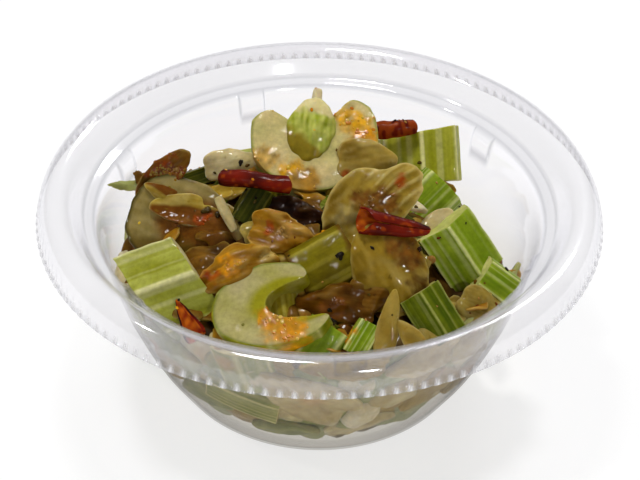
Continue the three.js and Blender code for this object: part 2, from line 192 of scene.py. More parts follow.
def welded(grid, marks=None):
    """A grid of points whose columns run round and join up, as corners, triangles that face
    outward, and the marks at each corner. Points at one place become one corner, which closes
    seams and poles."""
    index = np.arange(grid[..., 0].size).reshape(grid.shape[:2])
    a, b = index[:-1], index[1:]
    c, d = np.roll(b, -1, axis=1), np.roll(a, -1, axis=1)
    triangles = np.concatenate([np.stack(three, -1).reshape(-1, 3) for three in ((a, b, c), (a, c, d))])
    corners = grid.reshape(-1, 3)
    _, first, place = np.unique(np.round(corners, 4), axis=0, return_index=True, return_inverse=True)
    corners, triangles = corners[first], place.reshape(-1)[triangles]
    triangles = triangles[(triangles != np.roll(triangles, 1, axis=1)).all(axis=1)]
    a, b, c = (corners[triangles[:, k]] for k in (0, 1, 2))
    if (a * np.cross(b, c)).sum() <= 0:
        triangles = triangles[:, ::-1]
    return corners, triangles, {key: value.reshape(-1)[first] for key, value in (marks or {}).items()}


def piece(name, node, corners, triangles, material, paint=None, marks=None):
    """An object from corners in millimetres, which rides on the bowl and replaces a node. paint
    is a colour for each corner, and marks are further numbers for each corner, which its
    material reads."""
    mesh = bpy.data.meshes.new(name)
    mesh.vertices.add(len(corners))
    mesh.vertices.foreach_set("co", (corners * MM).astype(np.float32).ravel())
    mesh.loops.add(len(triangles) * 3)
    mesh.loops.foreach_set("vertex_index", triangles.astype(np.int32).ravel())
    mesh.polygons.add(len(triangles))
    mesh.polygons.foreach_set("loop_start", np.arange(0, len(triangles) * 3, 3, dtype=np.int32))
    mesh.polygons.foreach_set("use_smooth", np.ones(len(triangles), bool))
    mesh.update(calc_edges=True)
    if paint is not None:
        layer = mesh.color_attributes.new("paint", "FLOAT_COLOR", "POINT")
        full = np.concatenate([paint, np.ones((len(paint), 1))], axis=1)
        layer.data.foreach_set("color", full.astype(np.float32).ravel())
    for key, values in marks.items():
        mesh.attributes.new(key, "FLOAT", "POINT").data.foreach_set("value", values.astype(np.float32))
    mesh.validate()
    mesh.materials.append(material)
    made = placed(name, mesh)
    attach(made, "root")
    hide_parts(node)


rounded = rounded_path(BOWL_PATH, 0.4, 59)
outer_path, turning = rounded[:, :2], rounded[:, 2]
inner_path = offset_path(outer_path, SHEET)
inner_path[0, 0] = outer_path[0, 0] = 0


def wall_radius(height):
    """Radius of the bowl's inner face at heights below its ledge."""
    below = inner_path[3:][inner_path[3:, 1] < LEDGE]
    return np.interp(height, below[:, 1], below[:, 0])


around = np.linspace(0, 2 * np.pi, TEETH * 6, endpoint=False)
tooth_wave = np.cos(TEETH * around)
sheet_path = np.concatenate([outer_path, inner_path[::-1]])
radius, level = (np.repeat(sheet_path[:, k:k + 1], len(around), axis=1) for k in (0, 1))
# Marks that the plastic's finish reads: crease where it bends sharply, drawn as painted dark
# lines; haze where it is milky, with painted highlight dots on the tooth crests;
# and low, painted shade on the lower body.
# Painted dark lines: crease greys the clear colour along sharp bends and round the lugs, standing in for the
# light that the bends refract away.
crease = np.repeat(np.concatenate([turning, turning[::-1]])[:, None], len(around), axis=1)
crease = np.clip((crease - 0.25) * 1.2, 0, 1) * (level < 52)
# haze: a faint milky haze over the collar, rim and skirt, partly the sheet's own haze and partly standing in
# for the broad highlight on the collar; and near-white painted highlight dots on the tooth crests, standing
# in for the lamp glints on the teeth.
haze = 0.08 * smooth_step(50.2, 51.2, level) * (radius > 57)
crest = smooth_step(52.0, 51.3, level) * smooth_step(0.3, 0.8, tooth_wave)
haze = np.maximum(haze, 0.95 * crest * (radius > 70))
# low is painted shade: the body darkens below 40 mm, fully below 22 mm, for the shadowed table seen through
# it.
low = smooth_step(40, 22, level) + 0 * around
skirt = smooth_step(54.4, 52.8, level) * (radius > 65)
dome = np.sin(np.pi * np.clip((level - 50.1) / 3.8, 0, 1))
radius = radius - TOOTH * skirt * (1 - dome * (0.5 + 0.5 * tooth_wave) * 1.2)
radius = np.where(skirt > 0, np.minimum(radius, RIM_REACH), radius)
for angle in LUG_ANGLES:
    turn = (around - angle * RAD + np.pi) % (2 * np.pi) - np.pi
    half_wide, half_tall, soft = LUG["wide"] / 2, LUG["tall"] / 2, LUG["soft"]
    across = smooth_step(half_wide + soft, half_wide - soft, np.abs(turn) * LUG["reach"])
    up = smooth_step(half_tall + soft, half_tall - soft, np.abs(level - (LUG["top"] - half_tall)))
    on_wall = (radius > 40) * (radius < 58)
    radius = radius - LUG["deep"] * across * up * on_wall
    edge = 4 * np.maximum(across * (1 - across) * up, up * (1 - up) * across)
    crease = np.maximum(crease, edge * on_wall)
bowl_grid = np.stack([radius * np.cos(around), radius * np.sin(around), level], axis=-1)

clear_plastic = bpy.data.materials.new("clear_plastic")
add = nodes_of(clear_plastic)
ripple = add("TexNoise", Vector=add("TexCoord", "Object"), Scale=90.0, Detail=1.0)
bump = add("Bump", Strength=0.12, Distance=0.0004, Height=ripple)
# The clear colour greys toward grazing angles, partly for the longer path through the sheet and partly as
# painted dark edges standing in for refraction at its silhouettes.
grazing = add("Math", operation="POWER", i0=add("LayerWeight", "Facing", Blend=0.5), i1=5.0)
bright = add("Math", operation="MULTIPLY_ADD", use_clamp=True, i0=grazing, i1=0.9, i2=0.05)
# Painted shade: where low is set, the clear colour turns grey-brown and the reflections fade.
deep_down = add("Attribute", "Fac", attribute_name="low")
calm = add("Math", operation="MULTIPLY_ADD", i0=deep_down, i1=-0.75, i2=1.0)
mirrored = add("Math", operation="MULTIPLY", i0=bright, i1=calm)
clear = add("MixRGB", i0=deep_down, i1=(0.985, 0.982, 0.992, 1), i2=(0.91, 0.9, 0.875, 1))
edge = add("MixRGB", i0=deep_down, i1=(0.77, 0.77, 0.79, 1), i2=(0.5, 0.49, 0.47, 1))
tint = add("MixRGB", i0=grazing, i1=clear, i2=edge)
fold = add("Attribute", "Fac", attribute_name="crease")
lined = add("MixRGB", i0=fold, i1=tint, i2=(0.80, 0.80, 0.82, 1))
surface = add(
    "BsdfPrincipled", Base_Color=(0.93, 0.93, 0.96, 1), Metallic=1.0, Roughness=0.07, Normal=bump
)
both = add("MixShader", i0=mirrored, i1=add("BsdfTransparent", Color=lined), i2=surface)
# Near-white milky plastic: the sheet's faint real haze, and painted highlights on the tooth crests.
milky = add("BsdfPrincipled", Base_Color=(1, 0.99, 1, 1), Roughness=0.25, Coat_Weight=0.5)
clouded = add("Attribute", "Fac", attribute_name="haze")
add("OutputMaterial", Surface=add("MixShader", i0=clouded, i1=both, i2=milky))

sheet_marks = {"crease": crease, "haze": haze + 0 * level, "low": low}
corners, triangles, sheet_marks = welded(bowl_grid, sheet_marks)
piece("clear_bowl", "bowl", corners, triangles, clear_plastic, marks=sheet_marks)


# ---- Middle of the heap ----
# Small scraps packed in dark brown sauce, which show only between the pieces that lie on them.
# Their brown is darker than the sauce as painted shade in those gaps, and paler low down as
# painted light for the plastic's haze in front of them.
# It is the heap's own form, drawn in from the wall and the top, and closed under.
CORE_INSET = 4.4
CORE_DROP = 3.4
CORE_RAISE = 2
HEAP_LEVEL = 47
HEAP_EDGE = 47.5
MOUND = 9.5
FOOD_FLOOR = 2.2
WALL_GAP = 0.25


def heap_top(x, y):
    """Height of the small pieces' top: a mound, less its slopes down to the back, the left and
    the right, plus bumps."""
    mound = MOUND * np.exp(-(((x + 2) / 32) ** 4) - ((y + 10) / 26) ** 4)
    back = 0.95 * np.maximum(y - 16, 0)
    left = 0.8 * np.maximum(-x - 38, 0) * np.where(y > -22, 1, 0.3)
    right = 2.2 * np.maximum(x - 36 + 0.25 * np.maximum(y, 0), 0) * (y > -16)
    bumps = 1.1 * np.sin(x / 4.3 + 1) * np.cos(y / 3.9) + 0.7 * np.sin((x - y) / 5.7)
    return np.maximum(HEAP_LEVEL + mound - back - left - right + bumps, 12)


def heap_edge(turn):
    """Height at which the heap's top meets the wall, at an angle round the bowl."""
    reach = wall_radius(40) - 2
    return np.minimum(heap_top(reach * np.cos(turn), reach * np.sin(turn)), HEAP_EDGE)


def mottle(points, size, seed):
    """Smooth noise of about -1 to 1: sine waves added up, which run in random directions and
    whose lengths are near the size, in millimetres."""
    draw = np.random.default_rng(seed)
    total = np.zeros(points.shape[:-1])
    for _ in range(14):
        way = draw.normal(size=3)
        way *= 2 * np.pi / (size * draw.uniform(0.7, 1.7) * np.linalg.norm(way))
        total += np.sin(points @ way + draw.uniform(0, 2 * np.pi))
    return total / 4.2


def blended(low, high, share):
    """Two colours, or two sets of them, mixed by a share for each corner."""
    share = np.clip(share, 0, 1)[..., None]
    return low * (1 - share) + high * share


def normals_of(corners, triangles):
    """At each corner, the mean of the normals of the triangles round it."""
    a, b, c = (corners[triangles[:, k]] for k in (0, 1, 2))
    face = np.cross(b - a, c - a)
    total = np.zeros_like(corners)
    for k in range(3):
        np.add.at(total, triangles[:, k], face)
    return total / np.maximum(np.linalg.norm(total, axis=1, keepdims=True), 1e-9)


def wet_food(name, grain, shine, soft, radius=(1.0, 0.7, 0.3), depth=0.0015, pits=0.12):
    """A wet, slightly see-through finish. The colour is the piece's own paint, broken up by fine
    grain. Pits are its small hollows, shine its wet coat and soft how far light soaks in. Where
    sauce lies on it, it is wetter and full of small bumps that glint."""
    material = bpy.data.materials.new(name)
    add = nodes_of(material)
    place = add("TexCoord", "Object")
    sauce = add("Attribute", "Fac", attribute_name="sauce")
    speckle = add("TexNoise", Vector=place, Scale=grain, Detail=3.0, Roughness=0.6)
    shade = add("MapRange", Value=speckle, From_Min=0.25, From_Max=0.75, To_Min=0.82, To_Max=1.16)
    paint = add("Attribute", "Color", attribute_name="paint")
    colour = add("VectorMath", operation="SCALE", i0=paint, Scale=shade)
    patch = add("TexNoise", Vector=place, Scale=grain / 4, Detail=1.0)
    dull = add("MapRange", Value=patch, From_Min=0.3, From_Max=0.7, To_Min=0.45, To_Max=0.7)
    coat = add("Math", operation="MULTIPLY_ADD", i0=sauce, i1=0.35, i2=shine)
    dimple = add("TexNoise", Vector=place, Scale=grain * 1.1, Detail=4.0, Roughness=0.65)
    deep = add("Math", operation="MULTIPLY_ADD", i0=sauce, i1=0.6, i2=1.0)
    height = add("Math", operation="MULTIPLY", i0=dimple, i1=deep)
    bump = add("Bump", Strength=pits, Distance=0.0004, Height=height)
    skin = add(
        "BsdfPrincipled", Base_Color=colour, Roughness=dull, Specular_IOR_Level=0.05, Normal=bump,
        Coat_Weight=coat, Coat_Roughness=0.04, Coat_Normal=bump, Subsurface_Weight=soft,
        Subsurface_Radius=radius, Subsurface_Scale=depth,
    )
    add("OutputMaterial", Surface=skin)
    return material


turn = np.linspace(0, 2 * np.pi, 180, endpoint=False)[None, :]
under, side, top = np.linspace(0, 1, 12)[:-1], np.linspace(0, 1, 26)[:-1], np.linspace(1, 0, 46)
share = np.concatenate([under, np.ones(25), top])[:, None]
rise = np.concatenate([np.zeros(11), side, np.ones(46)])[:, None]
foot = FOOD_FLOOR + CORE_RAISE
level = foot + (heap_edge(turn) - CORE_DROP - foot) * rise
reach = (wall_radius(level) - CORE_INSET) * share
core_grid = np.stack([reach * np.cos(turn), reach * np.sin(turn), level], axis=-1)
over = heap_top(core_grid[..., 0], core_grid[..., 1]) - CORE_DROP
core_grid[..., 2] = np.where(rise == 1, over * (1 - share**12) + level * share**12, level)
core_corners, core_triangles, _ = welded(core_grid)
core_lumps = mottle(core_corners, 7, 1) * 0.9 + mottle(core_corners, 2.6, 2) * 0.35
core_corners += normals_of(core_corners, core_triangles) * core_lumps[:, None]
# The core's dark brown is partly the sauce and partly painted shade for the deep gaps between pieces.
core_paint = blended(linear(34, 14, 2), linear(104, 68, 14), 0.42 + 0.5 * mottle(core_corners, 5, 3))
# Painted light: below 46 mm, fully below 38 mm, the core turns pale, standing in for the milky haze of the
# plastic wall in front of it.
core_paint = blended(core_paint, linear(134, 118, 78), smooth_step(46, 38, core_corners[:, 2]) * 0.85)
sauce_finish = wet_food("brown_sauce", 700.0, 0.4, 0.1)
wet_all_over = {"sauce": np.full(len(core_corners), 0.5)}
piece(
    "salad_core", "salad_heap", core_corners, core_triangles, sauce_finish, core_paint, wet_all_over
)


# ---- Celery ----
# Chunks cut across celery stalks: a thick curved wall with a ribbed green rind outside, pale
# flesh on its cut ends and a smooth hollow inside. Chunks cut near the root are so thick that
# they are crescents. Some lie on their sides, and some stand with a cut face up.
# A look is the screen colours of the dark and light rind, the pale lines and the flesh.
CELERY = {
    "fresh": ((108, 134, 6), (150, 168, 40), (218, 220, 146), (198, 190, 112)),
    "light": ((138, 140, 26), (170, 172, 74), (222, 216, 158), (206, 192, 140)),
    "deep": ((66, 82, 2), (104, 114, 14), (158, 160, 78), (160, 150, 84)),
    "back": ((146, 148, 16), (178, 176, 58), (232, 226, 156), (212, 196, 120)),
    "olive": ((96, 82, 2), (128, 116, 10), (164, 150, 56), (140, 104, 30)),
    "shade": ((38, 46, 1), (64, 66, 4), (104, 98, 28), (88, 76, 28)),
    "front": ((92, 104, 8), (148, 142, 20), (174, 168, 96), (180, 168, 116)),
    "inner": ((122, 106, 6), (162, 148, 34), (184, 172, 84), (184, 168, 100)),
    "root": ((126, 132, 34), (164, 162, 84), (208, 196, 132), (216, 194, 134)),
}
ORANGE = linear(204, 136, 0)
GOLD_OIL = linear(214, 156, 10)
RED_OIL = linear(158, 66, 2)
BROWN_OIL = linear(116, 70, 8)
BROWN_EDGE = linear(92, 54, 6)


def wall_columns(columns):
    """Places round a thin wall, -1 and 1 at its tips, out along its outer side and back along
    its inner one, and which side each is on."""
    u = np.linspace(-1, 1, columns)
    side = np.concatenate([np.ones(columns), -np.ones(columns - 2)])
    return np.concatenate([u, u[-2:0:-1]])[None, :], side[None, :]


def stalk_wall(
    radius, wall, half, long, ribs, ridge=0.7, tip=0.45, flare=0, heavy=0, squash=1, bow=0,
    skew=(0, 0), stand=False, inner=0.2, columns=84, rows=30,
):
    """The closed surface of a chunk. The rows go from the middle of one cut face out to its
    edge, along the chunk, and in again. The wall is a ring sector whose thickness falls to
    nothing at the tips, and heavy thickens its inner side toward them. Its outside is flat
    between ribs that stand up sharply. Skew slants its two ends."""
    u, side = wall_columns(columns)
    cut = np.array([0, 0.12, 0.25, 0.38, 0.5, 0.61, 0.7, 0.78, 0.85, 0.91, 0.95, 0.98])
    edge = 0.2 / long
    q = np.concatenate([cut, np.ones(rows), cut[::-1]])[:, None]
    along = np.linspace(-0.5 + edge, 0.5 - edge, rows)
    s = np.concatenate([np.full(len(cut), -0.5), along, np.full(len(cut), 0.5)])[:, None]
    t = u * (1.4 - 0.4 * u * u)
    thin = (tip + (1 - tip) * (1 - t * t)) * np.sqrt(np.maximum(1 - t**8, 0))
    thin = thin * (1 + heavy * smooth_step(0.1, 0.8, np.abs(t)) * (side < 0))
    middle = radius - wall / 2
    r = middle * (1 + flare * t) + side * q * (wall / 2) * thin
    beside = np.abs((u + 1) * ribs / 2 - np.round((u + 1) * ribs / 2))
    line = np.exp(-((beside / 0.07) ** 2))
    crest = (1 - 2 * beside) ** 2
    raised = ridge * (0.9 * crest + 0.35 * line - 0.45) * smooth_step(1, 0.9, np.abs(u))
    r = np.maximum(r + raised * (side > 0) * q**3, 0.4)
    angle = t * half * RAD
    x = r * np.sin(angle) + 0 * s
    y = r * np.cos(angle) * squash + bow * s * s * 4 - middle * squash
    z = s * long + x * (skew[1] * (0.5 + s) + skew[0] * (0.5 - s))
    lumps = mottle(np.stack([x, y, 0.4 * z], -1), 6, ribs) * 0.12
    z = z + (q < 1) * np.sign(s) * (lumps - 0.15 * smooth_step(0.6, 0, q))
    grid = np.stack([x, y, z] if stand else [x, -z, y], axis=-1)
    whole = np.abs(u) < 0.97
    marks = {
        "rind": (side > 0) * whole * smooth_step(0.9, 0.99, q),
        "line": line * (side > 0) * whole,
        "cut": (q < 1) * smooth_step(1.0, 0.94, q),
        "deep": q * side * whole,
        "round": u,
        "s": s,
        "inner": inner,
    }
    return grid, {key: value + 0.0 * (s + u) for key, value in marks.items()}


def posed(points, pose, at):
    """Points turned by spin about Z, tipped by lean about X, turned toward an angle about Z,
    and then moved to their place."""
    toward, lean, spin = pose
    turn = Matrix.Rotation(toward * RAD, 3, "Z") @ Matrix.Rotation(lean * RAD, 3, "X")
    turn = np.array(turn @ Matrix.Rotation(spin * RAD, 3, "Z"))
    return points @ turn.T + np.array(at)


def kept_inside(points):
    """Points moved in to the bowl's wall, where they would stand out through it, and up to its
    floor, as soft food is pressed flat against plastic."""
    points = points.copy()
    points[..., 2] = np.maximum(points[..., 2], FOOD_FLOOR - 0.3)
    reach = np.maximum(np.hypot(points[..., 0], points[..., 1]), 1e-6)
    limit = np.where(points[..., 2] < 50, wall_radius(np.minimum(points[..., 2], 49.5)), 58) - WALL_GAP
    points[..., :2] *= np.minimum(1, limit / reach)[..., None]
    return points


def lumped(corners, triangles, lift):
    """The corners moved out along their normals, and kept inside the bowl."""
    return kept_inside(corners + normals_of(corners, triangles) * lift[:, None])


def streaks(u, seed, low=6, high=40):
    """Lines that run along a stalk: sine waves of its place round the cut, added up and then
    sharpened into bands."""
    draw = np.random.default_rng(seed)
    total = sum(np.sin(u * draw.uniform(low, high) + draw.uniform(0, 7)) for _ in range(9)) / 3
    return np.tanh(1.6 * total)


def celery_paint(marks, corners, look, seed):
    """Dark and light green bands along the rind with thin pale lines on its ribs, pale flesh on
    the cuts with a green line just under the rind, and a light green hollow."""
    dark, light, pale, flesh = (linear(*screen) for screen in CELERY[look])
    bands = 0.6 * streaks(marks["round"], seed) + 0.3 * streaks(marks["round"], seed + 1, 40, 130)
    rind = blended(dark, light, 0.5 + 0.5 * bands + 0.25 * mottle(corners, 7, seed))
    rind = blended(rind, pale, 0.85 * smooth_step(0.3, 0.9, marks["line"]))
    rind = blended(rind, pale, 0.35 * smooth_step(0.5, 0.9, streaks(marks["round"], seed + 4, 10, 60)))
    if look == "olive":
        edge = np.maximum(np.abs(marks["round"]) - 0.1, 2 * np.abs(marks["s"]))
        edge = edge + 0.05 * mottle(corners, 3, seed)
        rind = blended(rind, BROWN_EDGE, 0.8 * smooth_step(0.78, 0.96, edge))
    soft = blended(flesh, pale, 0.3 + 0.3 * mottle(corners, 5, seed + 1))
    soft = blended(soft, light, 0.15 + 0.2 * mottle(corners, 9, seed + 3))
    soft = blended(soft, dark, 0.75 * smooth_step(0.8, 0.97, marks["deep"]))
    soft = blended(soft, light, marks["inner"] * smooth_step(-0.1, -0.6, marks["deep"]))
    hollow = blended(light, pale, 0.25 + 0.3 * mottle(corners, 4, seed + 2))
    body = blended(hollow, soft, marks["cut"])
    return blended(body, rind, marks["rind"])


def stained(paint, corners, stains, seed):
    """The paint with drops and patches on it: each stain is a middle, a radius, a colour and how
    thick its sauce lies, and its edge wanders with noise. Also gives the sauce at each corner."""
    thick = np.zeros(len(corners))
    for middle, radius, colour, sauce in stains:
        far = np.linalg.norm(corners - np.array(middle), axis=1) / radius
        far += 0.28 * mottle(corners, 1.5 + radius * 0.5, seed) + 0.1 * mottle(corners, 1.3, seed + 1)
        mask = smooth_step(1.25, 0.6, far)
        patchy = colour * (1 + 0.3 * mottle(corners, 2.4, seed + 1))[:, None]
        paint = blended(paint, patchy, mask * (0.88 + 0.2 * mottle(corners, 1.4, seed + 3)))
        thick = np.maximum(thick, mask * sauce)
        seed += 4
    return paint, thick


# The large pieces' corners, normals, sauce and paint, for the oil and specks to lie on.
food = []


def served(table, maker, painter, material, lump, seeds):
    """The large pieces of a table, whose rows are a name, a look, a size, a place, a pose and
    any stains. Each is posed in the bowl, painted, and lumped along its normals by noise and
    by the sauce on it. Seeds are the paint's first one, its step and the lumps' first one."""
    for number, (name, look, size, at, pose, *stains) in enumerate(table):
        grid, marks = maker(**size)
        corners, triangles, marks = welded(kept_inside(posed(grid, pose, at)), marks)
        seed = seeds[2] + 9 * number
        paint = painter(marks, corners, look, seeds[0] + seeds[1] * number)
        paint, thick = stained(paint, corners, stains, seed)
        lift = lump * (mottle(corners, 4.5, seed + 5) + 0.35 * mottle(corners, 1.9, seed + 6))
        lift = lift + thick * (0.14 + 0.08 * mottle(corners, 1.5, seed + 7))
        corners, paint = lumped(corners, triangles, lift), np.clip(paint, 0.001, 1)
        piece(name + "_food", name, corners, triangles, material, paint, {"sauce": thick})
        food.append((corners, normals_of(corners, triangles), thick, paint))


CELERY_CHUNKS = [
    ("celery_crescent_back", "root",
     dict(radius=16.4, wall=10.4, half=126, long=9, ribs=7, tip=1.05, ridge=0.3, heavy=0.7, stand=True),
     (-0.3, 2.5, 57.1), (0, 32, 188), ((-16.6, 2.8, 62), 2.6, GOLD_OIL, 1),
     ((-7.5, 0.5, 61), 3.2, GOLD_OIL, 1), ((-3, -2.5, 59.2), 2.6, ORANGE, 1),
     ((7, 12.5, 68.5), 3.6, GOLD_OIL, 1), ((10.5, 10, 67.5), 4.2, GOLD_OIL, 1),
     ((12, 7.5, 66), 2.6, ORANGE, 1), ((-14.5, 2.5, 62.5), 3.8, linear(188, 150, 74), 0.2),
     ((-4.5, -2.5, 59), 4.2, linear(164, 122, 44), 0.3)),
    ("celery_front", "front", dict(radius=12, wall=9, half=132, long=12, ribs=7, ridge=0.3, flare=-0.25,
     squash=1.5, stand=True, inner=1), (-17.5, -40.5, 46.6), (-28, 27, 125),
     ((-7.6, -49.3, 51), 4.4, ORANGE, 1), ((-11.5, -46.8, 52), 3.4, ORANGE, 1),
     ((-4.8, -49, 49.5), 3.8, ORANGE, 1)),
    ("celery_middle", "olive", dict(radius=9.8, wall=7.6, half=76, long=15, ribs=3, bow=-1.4, ridge=0.4),
     (1.6, -31, 56), (0, 50, -60), ((0.6, -24.3, 59.6), 1.6, ORANGE, 1)),
    ("celery_left", "light",
     dict(radius=17, wall=8, half=60, long=15, ribs=4, ridge=1.5, bow=-0.4, skew=(-0.32, -0.32)),
     (-36, -33.6, 50.9), (-8, 45, -64)),
    ("celery_right", "fresh", dict(radius=12, wall=8, half=60, long=16, ribs=4, ridge=1, bow=-0.4),
     (34.9, -20.8, 52.7), (13, 62, 29)),
    ("celery_low_right", "deep", dict(radius=9.2, wall=7, half=56, long=13, ribs=4), (27.3, -40.5, 48.6),
     (5, 52, 30)),
    ("celery_far_right", "fresh", dict(radius=8, wall=6, half=52, long=9.5, ribs=3), (43.5, -26.5, 47.5),
     (20, 60, 45)),
    ("celery_back_right", "back",
     dict(radius=17.5, wall=7, half=50, long=13.2, ribs=4, ridge=1.2, bow=-0.3, skew=(-0.12, 0)),
     (26.3, 15.7, 54.9), (4, 52, 2)),
    ("celery_under_right", "fresh", dict(radius=10.5, wall=5.5, half=60, long=14.6, ribs=3),
     (27.2, 2.6, 49.2), (10, 48, -51)),
    ("celery_small_front", "fresh", dict(radius=5.5, wall=4, half=58, long=8.5, ribs=3),
     (10.5, -48.5, 47.5), (0, 45, -30), ((6.5, -47.5, 49), 2.6, ORANGE, 1)),
    ("celery_small_middle", "shade", dict(radius=7, wall=4.5, half=52, long=10, ribs=3),
     (-16.8, -10, 57), (0, 45, -30)),
    ("celery_small_left", "shade", dict(radius=5, wall=4, half=50, long=8, ribs=3), (-31.5, 6.5, 53.5),
     (0, 50, -70)),
    ("celery_behind_left", "light", dict(radius=12, wall=7, half=55, long=13, ribs=4), (-17, 25, 46),
     (-160, 35, 30)),
    ("celery_behind_right", "fresh", dict(radius=11, wall=7, half=55, long=12, ribs=4), (20, 29, 39),
     (165, 42, -35)),
]
celery_finish = wet_food("celery", 900.0, 0.2, 0.25, radius=(0.8, 1.0, 0.35))
served(CELERY_CHUNKS, stalk_wall, celery_paint, celery_finish, 0.07, (20, 6, 40))


# ---- Pickled mustard stem ----
# Thin slices of a knobbly pickled stem, olive to amber and see-through at their edges, soft
# enough to fold and curl over what they lie on. Each is a flattened round with a lobed edge.
# A look is the screen colours of its dark parts, its body and its pale parts.
STEM = {
    "stem": ((118, 86, 8), (166, 134, 36), (200, 174, 94)),
    "lobe": ((104, 78, 6), (152, 122, 30), (194, 170, 90)),
    "clear": ((122, 96, 24), (158, 136, 58), (186, 168, 104)),
    "amber": ((118, 72, 2), (160, 112, 14), (196, 162, 78)),
    "pale": ((132, 104, 28), (166, 140, 60), (196, 174, 104)),
    "cream": ((168, 146, 90), (196, 178, 124), (220, 206, 160)),
    "white": ((196, 172, 116), (226, 212, 172), (250, 242, 222)),
    "celadon": ((116, 122, 50), (150, 152, 84), (188, 184, 124)),
    "ridge": ((140, 108, 24), (176, 150, 56), (206, 188, 112)),
    "brown": ((52, 22, 1), (98, 58, 4), (138, 102, 28)),
    "dark": ((14, 3, 1), (44, 18, 1), (84, 54, 10)),
    "fold": ((124, 96, 16), (168, 140, 46), (212, 192, 118)),
    "curl": ((70, 42, 2), (116, 76, 12), (150, 120, 50)),
    "cup": ((116, 98, 34), (156, 138, 82), (176, 162, 114)),
    "heart": ((146, 156, 34), (196, 198, 96), (222, 208, 146)),
}
SKIN = linear(70, 62, 14)
OLIVE_BACK = linear(112, 98, 24)
OLIVE_FOOT = linear(148, 128, 30)
AMBER_HALF = linear(112, 64, 6)
AMBER_POOL = linear(112, 66, 8)
BROWN_FOOT = linear(104, 82, 18)


def stem_slice(
    long, wide, thick, lobes=3, lobe=0.1, turn=0, cup=0, fold=0, wave=0.6, flat=0.75,
    crumple=0.3, crease=8, lines=0, ragged=0.009, columns=110, rows=44,
):
    """A ball flattened to a slice: its edge waves in and out with lobes and is ragged, its two
    faces lie flat apart from the rim, and both rise together by cup (a bowl), fold (a trough)
    and wave. Soft creases cross it, and lines are sharper ones along it at its +X end."""
    share = np.linspace(-1, 1, rows)[:, None]
    down = (0.5 - 0.5 * share * (1.35 - 0.35 * share**2)) * np.pi
    angle = np.linspace(0, 2 * np.pi, columns, endpoint=False)[None, :]
    px, py, pz = np.sin(down) * np.cos(angle), np.sin(down) * np.sin(angle), np.cos(down) + 0 * angle
    edge = 1 + lobe * np.cos(lobes * angle + turn) + lobe * 0.4 * np.cos((lobes + 2) * angle - turn)
    frayed = np.sin(7 * angle + 3 * long) + 0.7 * np.sin(12 * angle + 5 * wide) + 0.5 * np.sin(19 * angle)
    edge = edge + ragged * frayed
    x, y = px * (long / 2) * edge, py * (wide / 2) * edge
    s, t = 2 * x / long, 2 * y / wide
    rise = cup * (s * s + t * t) + fold * t * t + wave * np.sin(2.4 * s + turn) * np.cos(2 * t)
    stretched = np.stack([0.7 * x, 1.4 * y, 0 * x], -1)
    creased = mottle(stretched, crease, int(long * 3 + wide))
    creased = creased + 0.2 * mottle(stretched, 3, int(long * 5 + wide))
    ridges = np.sin(2 * np.pi * y / 2.6 + 0.7 * np.sin(x / 2)) * smooth_step(0.05, 0.45, s)
    z = np.sign(pz) * np.abs(pz) ** flat * (thick / 2) + rise + crumple * creased + lines * ridges
    marks = {"rim": np.sin(down) + 0 * angle, "crease": creased, "s": s, "t": t, "face": pz}
    marks["ridge"] = ridges * (1 if lines else 0)
    return np.stack([x, y, z], axis=-1), marks


def heart_paint(marks, corners, seed):
    """A leafy heart: cream at its +X end, bright crinkled green in the middle, olive below."""
    dark, body, pale = (linear(*screen) for screen in STEM["heart"])
    along = marks["s"] + 0.08 * mottle(corners, 3, seed)
    vein = mottle(np.stack([marks["s"] * 0.3, marks["t"], 0 * marks["s"]], -1), 0.16, seed + 1)
    leaf = blended(dark, body, 0.65 + 0.4 * vein + 0.25 * mottle(corners, 2.5, seed + 2))
    leaf = blended(leaf, OLIVE_FOOT, smooth_step(-0.25, -0.5, along - 0.3 * marks["t"]))
    return blended(leaf, pale, smooth_step(0.42, 0.62, along))


def stem_paint(marks, corners, look, seed):
    """Darker where the slice is deep in sauce, paler along its creases, with fine fibres along it,
    see-through patches and small brown flecks in between. Its thin rim is paler as painted light
    shining through the edge, and a cup's low front lip is darkened partly by painted shade."""
    if look == "heart":
        return heart_paint(marks, corners, seed)
    dark, body, pale = (linear(*screen) for screen in STEM[look])
    cloud = mottle(corners, 9, seed) + 0.5 * mottle(corners, 3.5, seed + 1)
    paint = blended(body, dark, 0.3 + 0.38 * cloud)
    paint = blended(paint, pale, 0.45 * smooth_step(0.2, 1.2, marks["crease"] + 0.3 * cloud))
    if "s" in marks:
        across = np.stack([0.25 * marks["s"], marks["t"], 0 * marks["t"]], -1)
        fibre = np.tanh(1.5 * mottle(across, 0.13, seed + 2))
        paint = blended(paint, pale, 0.14 * np.maximum(fibre, 0))
        paint = blended(paint, dark, 0.18 * np.maximum(-fibre, 0))
    if look == "ridge":
        high = marks["t"] + 0.2 * marks["s"] * marks["s"] + 0.1 * cloud
        paint = blended(AMBER_HALF, paint, smooth_step(0.0, 0.35, high))
    if "ridge" in marks:
        paint = blended(paint, pale, 0.5 * smooth_step(0.2, 1.0, marks["ridge"]))
    if look == "curl":
        paint = blended(OLIVE_BACK, paint, smooth_step(-0.2, 0.4, marks["face"] - 0.2 * cloud))
    if look == "cup":
        inside = np.hypot(marks["s"] - 0.25, marks["t"] - 0.05) + 0.06 * cloud
        paint = blended(paint, AMBER_POOL, smooth_step(0.8, 0.55, inside))
        # A cup's low front lip turns olive brown, partly its own colour and partly painted shade.
        low = smooth_step(-0.3, -0.7, marks["t"] - 0.2 * marks["s"] + 0.1 * cloud)
        paint = blended(paint, BROWN_FOOT, 0.9 * low)
        peel = smooth_step(0.9, 0.985, marks["rim"]) * smooth_step(0.1, -0.3, marks["s"])
        return blended(paint, SKIN, peel)
    paint = blended(paint, dark, 0.7 * smooth_step(1.15, 1.6, mottle(corners, 1.6, seed + 3)))
    # Painted light: the thin rim is paler, standing in for light shining through the edge.
    rim = smooth_step(0.93, 1.0, marks["rim"] + 0.02 * cloud)
    return blended(paint, pale, 0.5 * rim)


